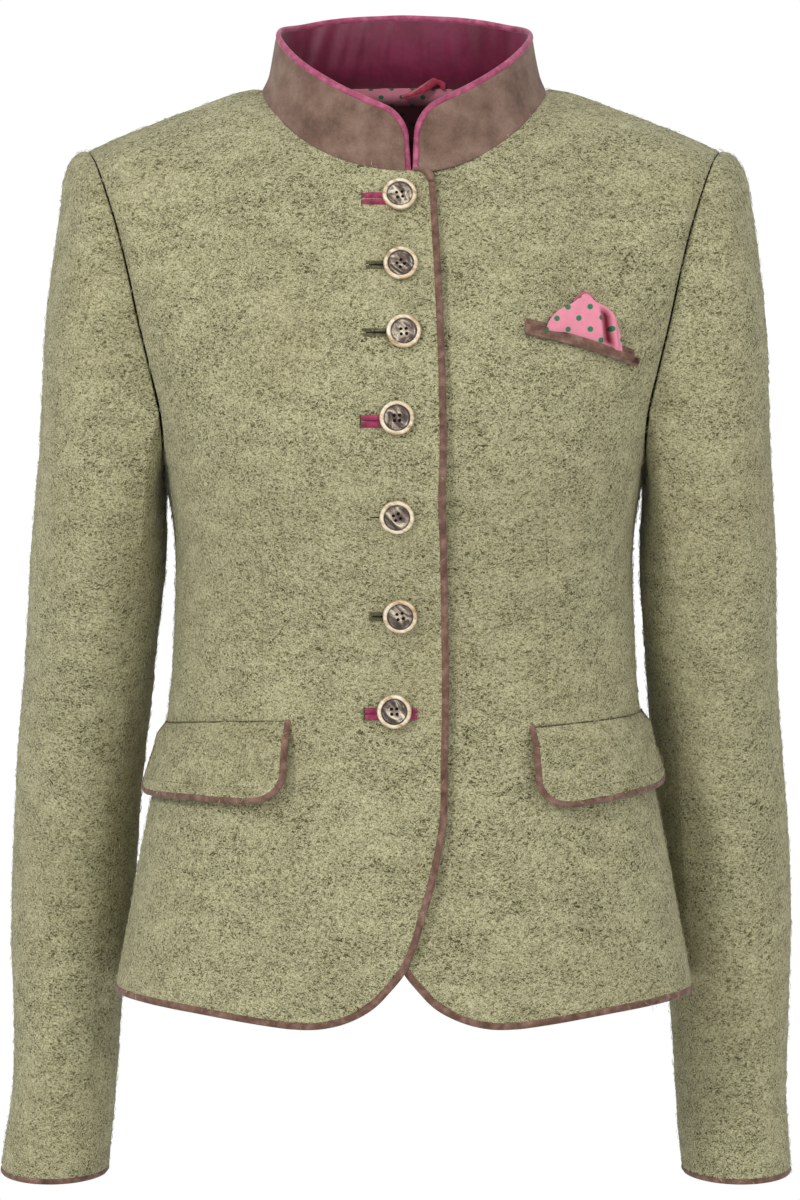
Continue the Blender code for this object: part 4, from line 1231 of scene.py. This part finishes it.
def make_sleeve_looks(left_front, left_back):
    for side, flip in (("left", np.array([1, 1, 1])), ("right", np.array([-1, 1, 1]))):
        whole = sleeve_grid(left_front, left_back, side)
        found = sleeve_normals(whole)
        count = whole.shape[1]
        upper = list(range(SEAM_FRONT, count - SEAM_BACK + 1))
        under = [k % count for k in range(count - SEAM_BACK, count + SEAM_FRONT + 1)]
        for part, chosen in (("upper", upper), ("under", under)):
            grid = stop_short(whole[:, chosen], ("first", "last"), -0.1)
            grid = stop_short(stop_short(grid, ("low",), -0.1), ("high",), -TRIM_OVER)
            fine, normals, rows, columns = fine_grid(grid * flip, found[:, chosen] * flip, 4.5, 4.5)
            drop = np.maximum(
                edge_drop(rows, columns, 1.4, 0.45, ("first", "last")),
                edge_drop(rows, columns, 2.2, 0.9, ("low", "high")),
            )
            waves = uneven(fine, 0.75, 0.15) * calm_edges(rows, columns, 30, 14)
            name = f"{part}_sleeve_{side}"
            make_wool(name, fine, normals, waves, drop, FIBRES[part], len(name))
        away = unit(whole[-1] - whole[-2])
        line = (whole[-1] + away * (PIPING_RADIUS + GAP - 0.3) - found[-1] * WOOL / 2) * flip
        ring_line = along_line(np.concatenate([line, line[:1]]), 2.5)[:-1]
        tube(
            f"cuff_piping_{side}_cloth", ring_line, PIPING["cuff"], "suede_piping",
            (f"cuff_piping_{side}",), closed=True, sides=12,
        )


def make_collar_looks():
    """The suede band, the gathered satin inside it and the rose piping round both."""
    grid = collar_grid()
    found = outward(grid)
    shown = stop_short(grid, ("low",), -0.9)
    shown = stop_short(shown, ("high", "first", "last"), -0.8)
    fine, normals, rows, columns = fine_grid(shown, found, 2.0, 3.0)
    drop = edge_drop(rows, columns, 2.0, 0.5)
    waves = 0.45 * ripple(fine, BROAD) + 0.15 * ripple(fine, SMALL)
    outer = fine + normals * (waves - drop)[..., None]
    inner = fine - normals * (SUEDE - 0.1)
    band = wall("collar_cloth", outer, inner, "suede", "suede", ("collar",))
    facing = fine - normals * (SUEDE + 0.1)
    turn = np.degrees(np.arctan2(facing[..., 0], -facing[..., 1]))
    share = (rows / rows[-1])[:, None]
    folds = np.zeros(turn.shape)
    for middle, wide, tall in FACING_FOLDS:
        away = (turn - middle + 180) % 360 - 180 + 5 * (share - 0.5)
        folds = folds + tall * np.exp(-((away / wide) ** 2))
    folds = folds * np.sin(np.pi * np.clip(share * 0.9 + 0.05, 0, 1)) ** 0.5
    inner_face = facing - normals * (SATIN + folds + 0.3)[..., None]
    lining = wall("collar_facing_cloth", facing, inner_face, "satin", "satin", ("collar_facing",))
    edge, inside, facing_out = free_edges(grid, found)
    line = along_edge(edge, inside, facing_out, SUEDE + 0.5 + SATIN, COLLAR_PIPING + 0.3)
    line = along_line(line, 1.6)
    up = spread(facing_out, len(line))
    ends = from_ends(np.arange(len(line))) * 1.6
    wide = 2.05 + 0.35 * (1 - step(ends, 22, 40))
    sizes = np.stack([np.full(len(line), 1.55), wide], -1)
    tube("collar_piping_cloth", line, sizes, "rose_piping", ("collar_piping",), up=up, sides=14)


def button_points():
    """A four-hole button lying on the XY plane, its face to +Z, with each point's radius."""
    sides = 64
    profile = (
        (5.2, 1.35), (6.2, 1.45), (7.0, 1.7), (7.5, 2.1), (7.9, 2.7), (8.3, 3.0), (8.8, 3.15),
        (9.4, 3.1), (9.9, 2.8), (10.3, 2.3), (10.45, 1.7), (10.2, 0.9), (9.6, 0.3), (8.8, 0),
    )
    hole_sides = 14
    hole_radius = 1.05
    holes = []
    for x in (-1.6, 1.6):
        for y in (-1.6, 1.6):
            turn = np.radians(np.arange(hole_sides) * 360 / hole_sides)
            holes.append(np.stack([x + hole_radius * np.cos(turn), y + hole_radius * np.sin(turn)], -1))
    turn = np.radians(np.arange(sides) * 360 / sides)
    around = np.stack([np.cos(turn), np.sin(turn)], -1)
    points = []
    faces = []
    rings = []
    for radius, height in profile:
        rings.append(list(range(len(points), len(points) + sides)))
        points.extend((radius * c, radius * s, height) for c, s in around)
    for inner, outer in zip(rings[:-1], rings[1:]):
        for k in range(sides):
            n = (k + 1) % sides
            faces.append([inner[k], outer[k], outer[n], inner[n]])
    hole_rings = []
    for height in (profile[0][1] - 0.1, profile[-1][1]):
        level = []
        for hole in holes:
            level.append(list(range(len(points), len(points) + hole_sides)))
            points.extend((x, y, height) for x, y in hole)
        hole_rings.append(level)
    for top, bottom in zip(*hole_rings):
        for k in range(hole_sides):
            n = (k + 1) % hole_sides
            faces.append([top[k], top[n], bottom[n], bottom[k]])
    for border, level, up in ((rings[0], hole_rings[0], True), (rings[-1], hole_rings[1], False)):
        loops = [border] + level
        flat = [k for loop in loops for k in loop]
        places = [points[k][:2] for k in flat]
        edges = []
        start = 0
        for loop in loops:
            edges += [(start + k, start + (k + 1) % len(loop)) for k in range(len(loop))]
            start += len(loop)
        _, _, triangles, came_from, _, _ = delaunay_2d_cdt(places, edges, [], 1, 1e-6)
        for triangle in triangles:
            ids = [flat[came_from[k][0]] for k in triangle]
            middle = np.mean([points[k][:2] for k in ids], 0)
            if any(np.linalg.norm(middle - hole.mean(0)) < 1.0 for hole in holes):
                continue
            faces.append(ids if up else ids[::-1])
    return np.array(points), faces


def make_button_looks(front):
    """The seven horn buttons, each with its thread and its buttonhole."""
    points, faces = button_points()
    radius = np.linalg.norm(points[:, :2], axis=1)
    for k, (x, z) in enumerate(zip(BUTTON_X, BUTTON_Z), 1):
        out = BUTTON_OVER_HOLE if k in BOUND_HOLES else BUTTON_OUT
        place, normal = place_on(front, x, z, out)
        across = unit(np.cross([0.0, 0.0, 1.0], normal))
        spin = np.radians(BUTTON_TURN[k - 1])
        turned = points.copy()
        turned[:, 0] = points[:, 0] * np.cos(spin) - points[:, 1] * np.sin(spin)
        turned[:, 1] = points[:, 0] * np.sin(spin) + points[:, 1] * np.cos(spin)
        placed = place + turned @ np.array([across, np.cross(normal, across), normal])
        made = finish_mesh(f"button_{k}_horn", placed, faces, "horn", (f"button_{k}",), 0.6)
        give_values(made, "radius", radius)
        # the sewing thread behind the holes
        line = np.array([place - normal * (out + 0.3), place + normal * 0.35])
        tube(f"button_{k}_thread", line, (4.4, 4.4), "dark_thread_and_painted_shade", up=across, sides=20)
        if k in BOUND_HOLES:
            bound_hole(front, k, z - BOUND_HOLE_DROP)
        else:
            stitched_hole(front, k, x, z)


def bound_hole(front, k, z):
    """Two rolled lips of satin that meet in a slit, with a stitch across the outer end."""
    ends = BOUND_HOLES[k]
    for side, name in ((1, "upper"), (-1, "lower")):
        line = points_on(front, [(x, z + side * 1.95) for x in np.linspace(*ends, 12)], 0.75)
        replaced = (f"buttonhole_{k}",) if side == 1 else ()
        fine = along_line(line, 1.2)
        way = np.linspace(0, 1, len(fine))
        tall = 1.9 - 0.5 * np.maximum(0, 1 - way / 0.12) - 0.5 * np.maximum(0, 1 - (1 - way) / 0.12)
        sizes = np.stack([tall, np.full(len(fine), 0.85)], -1)
        tube(f"buttonhole_{k}_{name}", fine, sizes, "rose_satin", replaced, sides=14)
    rim = along_line(points_on(front, [(ends[0] - 0.5, z + h) for h in (-4.1, 4.1)], 0.12), 1.0)
    tube(f"buttonhole_{k}_end", rim, (0.45, 0.45), "dark_seam", sides=8)


def stitched_hole(front, k, x, z):
    """Close stitches along both sides of a slit, and painted shade in the slit as a near-black cord."""
    start = STITCHED_HOLES[k]
    end = x - 9.0
    middle = z - 0.4
    here, normal = place_on(front, x, middle)
    across = unit(place_on(front, x, middle + 5)[0] - here)
    profile = ((-1.3, 0.5, 0.25), (-0.8, 1.0, 0), (0.8, 1.0, 0), (1.3, 0.5, 0.25))
    for side, name in ((1, "upper"), (-1, "lower")):
        line = points_on(front, [(at, middle + side * 1.45) for at in np.linspace(start, end, 6)], 0.4)
        fine = along_line(line, 0.95)
        ways = [across] * len(fine)
        ups = [normal] * len(fine)
        threads(f"buttonhole_{k}_{name}", fine, ways, ups, profile, 0.38, "buttonhole_thread")
    # painted shade: a near-black cord fills the open slit
    slit = points_on(front, [(at, middle) for at in np.linspace(start + 1.5, end, 6)], 0.5)
    sizes = np.stack([np.full(6, 0.45), np.linspace(0.3, 0.75, 6)], -1)
    tube(f"buttonhole_{k}_slit", slit, sizes, "dark_thread_and_painted_shade", sides=8, up=normal)


def flap_grid(front, side):
    """A flap's rows from its seam down, columns from its front end back, and the normals."""
    rows = []
    for t in np.linspace(0, 1, 6):
        row = []
        for w in FLAP_WAYS:
            seam = smooth(w, FLAP["across"], FLAP["seam"])
            lower = smooth(w, FLAP["across"], FLAP["lower"])
            start = FLAP_FROM[0] + (FLAP_FROM[1] - FLAP_FROM[0]) * t + FLAP_TURN[side]
            end = FLAP_TO[0] + (FLAP_TO[1] - FLAP_TO[0]) * t + FLAP_TURN[side]
            shift = FLAP_TILT[side][0] + FLAP_TILT[side][1] * w
            out = FLAP_WALL + FLAP_CLEAR + FLAP_STAND * t**0.8 + 2.0 * t * (1 - step(w, 0.0, 0.25))
            height = seam + (lower - seam) * t + shift
            row.append(place_on(front, start + (end - start) * w, height, out, azimuth))
        rows.append(row)
    both = np.array(rows)
    return both[:, :, 0], unit(both[:, :, 1])


def make_flap_looks(panels):
    """Each hip flap with its piping, the dark line of its seam and a row of stitches below it."""
    for side in ("left", "right"):
        front = panels[f"{side}_front"]
        grid, found = flap_grid(front, side)
        shown = stop_short(grid, ("first", "last", "high"), -TRIM_OVER)
        fine, normals, down, across = fine_grid(shown, found, 2.2, 3.0)
        drop = edge_drop(down, across, 2.5, 0.8)
        share = (down / down[-1])[:, None]
        sink = (FLAP_WALL + 0.9) * (1 - step(share, 0.0, 0.22))
        outer = fine + normals * (0.25 * ripple(fine, SMALL) - drop - sink)[..., None]
        thick = 0.8 + (FLAP_WALL - 0.8) * step(share, 0.0, 0.3)
        inner = fine - normals * (sink + np.minimum(thick, FLAP_WALL))[..., None]
        piece = wall(f"flap_{side}_cloth", outer, inner, "wool", "wool", (f"flap_{side}",))
        fuzz(f"flap_{side}_fuzz", outer, normals, FIBRES["flap"], 31 + len(side))
        edge, inside, out_way = free_edges(grid, found)
        line = along_edge(edge, inside, out_way, wall=FLAP_WALL, out=1.6 + 0.45)
        line = along_line(line, 1.6)
        up = unit(spread(out_way, len(line)))
        from_top = from_ends(np.arange(len(line))) * 1.6
        line = line - up * ((FLAP_WALL + 0.2) * (1 - step(from_top, 0, 10)))[:, None]
        tube(
            f"flap_piping_{side}_cloth", line, PIPING["flap"], "suede_piping",
            (f"flap_piping_{side}",), up=up, sides=12,
        )
        seam_line = []
        for w in np.linspace(0, 1, 17):
            seam = smooth(w, FLAP["across"], FLAP["seam"])
            seam = seam + FLAP_TILT[side][0] + FLAP_TILT[side][1] * w
            at = FLAP_FROM[0] + (FLAP_TO[0] - FLAP_FROM[0]) * w + FLAP_TURN[side]
            seam_line.append(place_on(front, at, seam - 0.5, 0.35, azimuth)[0])
        line = along_line(np.array(seam_line), 2.0)
        tube(f"flap_{side}_seam", line, (0.4, 0.4), "dark_seam", sides=8)
        row = int(np.argmin(np.abs(down[-1] - TRIM_OVER - down - 4.6)))
        keep = (across > 11) & (across < across[-1] - 8)
        line = along_line(outer[row][keep], 3.0)
        profile = ((-0.95, 0.3, 0.144), (-0.57, 1.0, 0), (0.57, 1.0, 0), (0.95, 0.3, 0.144))
        ups = unit(spread(normals[row][keep], len(line)))
        ways = unit(np.gradient(line, axis=0))
        threads(f"flap_{side}_stitches", line, ways, ups, profile, 0.24, "dark_seam")


def lip_line(w, down):
    """A place on the breast pocket: the share from its inner to its outer end, and the way down."""
    inner = np.array(POCKET_LEFT)
    along = np.array(POCKET_RIGHT) - inner
    return inner + along * w + np.array([0, POCKET_SAG * np.sin(np.pi * w) - down])


def make_lip_looks(front):
    """The ribbed upper lip, the plain lower one, a painted shadow line between them and the stitches at the
    end.
    """
    lips = (
        ("breast_lip_upper", 0, LIP_HEIGHT + 1.0, LIP_OUT - 1.2, 0.16, 1.0),
        ("breast_lip_lower", LIP_HEIGHT + 2.0, LIP_HEIGHT - 1.4, LIP_OUT + 2.2, 0, 3.2),
    )
    for name, first, tall, out, rib, thick in lips:
        rows = []
        for down in (first + tall, first + tall / 2, first - 0.3):
            rows.append(points_on(front, [lip_line(w, down) for w in np.linspace(0, 1, 9)], out))
        grid = np.array(rows)
        fine, normals, down, across = fine_grid(grid, outward(grid), 0.6, 2.0)
        ribs = rib * np.cos(2 * np.pi * down / 1.15)[:, None]
        outer = fine + normals * (ribs - edge_drop(down, across, 1.4, 0.7))[..., None]
        wall(f"{name}_cloth", outer, fine - normals * thick, "suede_piping", "suede", (name,))
    for n, w in enumerate(np.linspace(0.955, 1.0, 8)):
        upper = lip_line(w, LIP_HEIGHT + 1.4) + np.array([0.7, 0])
        lower = lip_line(w, 2 * LIP_HEIGHT + 0.6) - np.array([0.7, 0])
        line = along_line(points_on(front, [upper, lower], LIP_OUT + 2.35), 1.0)
        tube(f"breast_lip_stitch_{n}", line, (0.22, 0.22), "dark_suede", up=(0, -1, 0), sides=6)
    # painted shadow: a near-black cord along the line between the lips
    places = [lip_line(w, LIP_HEIGHT + 1.0) for w in np.linspace(0.01, 0.99, 9)]
    line = along_line(points_on(front, places, LIP_OUT - 0.5), 2.0)
    tube("breast_lip_painted_shadow", line, (0.65, 0.65), "dark_thread_and_painted_shade", sides=8)


def make_square_looks(front):
    """The pocket square with a roll folded over on its right, painted shade in the trough beside it, and the
    layer that shows behind its peak, painted half in shade.
    """
    rows = []
    for t in np.linspace(0, 1, 7):
        places = []
        for w in np.linspace(0, 1, 25):
            base = lip_line(0.15 + 0.70 * w, LIP_HEIGHT + 3.0)
            tip = np.array([smooth(w, SQUARE["way"], SQUARE["x"]), smooth(w, SQUARE["way"], SQUARE["z"])])
            places.append(base + (tip - base) * t)
        rows.append(points_on(front, places, LIP_OUT + 0.2 + 2.4 * step(t, 0.0, 0.35)))
    grid = np.array(rows)
    fine, normals, down, across = fine_grid(grid, outward(grid), 0.9, 0.9)
    width = across[-1]
    x = (across / width)[None]
    y = (down / down[-1])[:, None]
    # the opening of the folded-over roll runs down from the top of the square to the lip
    away = (x - (0.81 - 0.14 * y)) * width
    trough = np.where(away < 0, np.exp(-((away / 3.4) ** 4)), np.exp(-((away / 4.4) ** 4)))
    trough = trough * step(y, 0.08, 0.28) * (1 - step(y, 0.84, 0.95))
    roll = np.exp(-(((away - 7.6) / 2.4) ** 2)) * step(y, 0.05, 0.3)
    lip = np.exp(-(((away + 4.2) / 1.7) ** 2)) * step(y, 0.1, 0.3) * (1 - step(y, 0.85, 1.0))
    soft = 0.5 * np.sin(9 * x + 3 * y) + 0.3 * np.sin(17 * x - 5 * y)
    edge = edge_drop(down, across, 1.6, 0.5, ("high", "first", "last"))
    out = soft * 0.8 + 1.2 * roll + 1.0 * lip - 3.4 * trough - edge
    outer = fine + normals * out[..., None]
    inner = outer - normals * 0.7
    square = wall(
        "pocket_square_cloth", outer, inner, "dotted_cotton", "dotted_cotton", ("pocket_square",)
    )
    map_cloth(square, fine[..., [0, 2]] - DOTS_FROM)
    # painted shade: the trough beside the roll and the hollow next to it are painted darker
    painted_shade_amount = trough * (0.45 + 0.55 * step(away, -2.0, 1.5))
    painted_shade_amount = np.clip(painted_shade_amount + 0.3 * np.exp(-(((away - 4.5) / 2.0) ** 2)) * (1 - y), 0, 1)
    give_values(square, "painted_shade_amount", [painted_shade_amount, painted_shade_amount])
    rows = []
    for t in np.linspace(0, 1, 4):
        places = []
        for w, tip in zip(np.linspace(0, 1, 7), LAYER_TOP):
            base = np.array([91.2 + 26 * w, -140.0])
            places.append(base + (np.array(tip) - base) * t)
        rows.append(points_on(front, places, LIP_OUT + 0.5 + 0.9 * t))
    grid = np.array(rows)
    fine, normals, down, across = fine_grid(grid, outward(grid), 1.0, 1.0)
    layer = wall("pocket_square_layer", fine, fine - normals * 0.7, "dotted_cotton", "dotted_cotton")
    map_cloth(layer, fine[..., [0, 2]] + np.array([5.0, 3.0]) - DOTS_FROM)
    # painted shade: the layer behind the peak is painted half dark
    give_values(layer, "painted_shade_amount", np.full(fine[..., 0].size * 2, 0.5))


def make_neck_looks(left_back):
    """The dotted lining inside the back of the neck, painted dark with shade below the collar's seam, and the
    hanger loop.
    """
    grid, normals = left_back
    last = len(grid) - 1
    columns = np.arange(NECK_COLUMNS_BACK + 0.01)
    rows = []
    for row in (last - 3, last - 2, last - 1, last - 0.02):
        half = np.array([bilinear(grid, row, c) for c in columns])
        inward = np.array([unit(bilinear(normals, row, c)) for c in columns]) * (WOOL + 0.5)
        half = half - inward
        rows.append(np.concatenate([half[::-1], mirrored(half[1:])]))
    lining = np.array(rows)
    found = outward(lining)
    fine, fine_normals, down, across = fine_grid(lining, found, 3.0, 3.0)
    inner = fine - fine_normals * SATIN
    piece = wall("neck_lining_cloth", fine, inner, "dotted_lining_painted_shade", "dotted_cotton", ("neck_lining",))
    map_cloth(piece, np.stack(np.meshgrid(across, down), -1))
    # painted shade: the lining darkens below the collar's seam, where the collar shades it
    dark = 1 - step(fine[..., 2], -9, -1)
    give_values(piece, "painted_shade_amount", [dark, dark])
    ends = np.array([LOOP_FROM, LOOP_TO])
    way = np.linspace(0, 1, 9)[:, None]
    line = ends[0] + (ends[1] - ends[0]) * way - np.array([0, 1.5, 1.0]) * 4 * way * (1 - way)
    # its upper end turns back down to the seam
    back = np.array(LOOP_TURN) + line[-1]
    fine_line = along_line(np.concatenate([line, back]), 1.0)
    wide = np.interp(np.linspace(0, 1, len(fine_line)), (0, 0.6, 0.85, 1), (1.2, 2.6, 2.4, 1.4))
    sizes = np.stack([wide, np.full(len(fine_line), 0.45)], -1)
    tube("hanger_loop_ribbon", fine_line, sizes, "red_ribbon", ("hanger_loop",), sides=12)


def make_garment():
    panels, left_front, left_back, back_normals = make_body_looks()
    make_trim_looks(panels)
    make_sleeve_looks(left_front, left_back)
    make_collar_looks()
    make_button_looks(panels["right_front"])
    make_flap_looks(panels)
    make_lip_looks(panels["left_front"])
    make_square_looks(panels["left_front"])
    make_neck_looks((left_back, back_normals))


# Studio, in metres

WORLD_LIGHT = 0.71
FLOOR = -0.9
LIGHTS_AIM = Vector((0.0, 0.0, -0.3))
LIGHTS = (
    ("key", (-1.9, -2.5, 1.6), 0.6, 47.0),
    ("fill", (1.9, -2.6, 0.7), 1.8, 20.0),
)
CAMERA_AIM = np.array([-0.0025, 0.0, -0.3175])
CAMERA_AWAY = 3.0
CAMERA_TILT = np.radians(5.0)


def white_where_seen(tree, lit, output, kind):
    """Makes the surroundings plain white to look at, whatever light they give."""
    plain = tree.nodes.new(kind)
    plain.inputs["Color"].default_value = (1, 1, 1, 1)
    plain.inputs["Strength"].default_value = 1.0
    path = tree.nodes.new("ShaderNodeLightPath")
    mix = tree.nodes.new("ShaderNodeMixShader")
    tree.links.new(path.outputs["Is Camera Ray"], mix.inputs[0])
    tree.links.new(lit.outputs[0], mix.inputs[1])
    tree.links.new(plain.outputs[0], mix.inputs[2])
    tree.links.new(mix.outputs[0], output.inputs["Surface"])


def make_studio():
    scene = bpy.context.scene
    scene.view_settings.view_transform = "Standard"
    scene.world = bpy.data.worlds.new("studio")
    scene.world.use_nodes = True
    tree = scene.world.node_tree
    lit = tree.nodes["Background"]
    lit.inputs["Strength"].default_value = WORLD_LIGHT
    lit.inputs["Color"].default_value = (1, 1, 1, 1)
    white_where_seen(tree, lit, tree.nodes["World Output"], "ShaderNodeBackground")
    far = 30.0
    floor_mesh = bpy.data.meshes.new("floor")
    floor_mesh.from_pydata(
        [(-far, -far, FLOOR), (far, -far, FLOOR), (far, far, FLOOR), (-far, far, FLOOR)], [], [(0, 1, 2, 3)]
    )
    floor = bpy.data.objects.new("floor", floor_mesh)
    paint = bpy.data.materials.new("floor")
    paint.use_nodes = True
    surface = paint.node_tree.nodes["Principled BSDF"]
    surface.inputs["Base Color"].default_value = (0.8, 0.8, 0.8, 1)
    surface.inputs["Roughness"].default_value = 0.9
    white_where_seen(paint.node_tree, surface, paint.node_tree.nodes["Material Output"], "ShaderNodeEmission")
    floor_mesh.materials.append(paint)
    scene.collection.objects.link(floor)
    for name, place, size, power in LIGHTS:
        light = bpy.data.lights.new(name, "AREA")
        light.size = size
        light.energy = power
        lamp = bpy.data.objects.new(name, light)
        lamp.location = place
        lamp.rotation_euler = (LIGHTS_AIM - Vector(place)).to_track_quat("-Z", "Y").to_euler()
        scene.collection.objects.link(lamp)
    camera = bpy.data.cameras.new("camera")
    camera.lens = 144.0
    camera.sensor_width = 36.0
    holder = bpy.data.objects.new("camera", camera)
    way_back = np.array([0, -np.cos(CAMERA_TILT), np.sin(CAMERA_TILT)])
    holder.location = CAMERA_AIM + CAMERA_AWAY * way_back
    holder.rotation_euler = (np.pi / 2 - CAMERA_TILT, 0, 0)
    scene.collection.objects.link(holder)
    scene.camera = holder


make_garment()
make_studio()
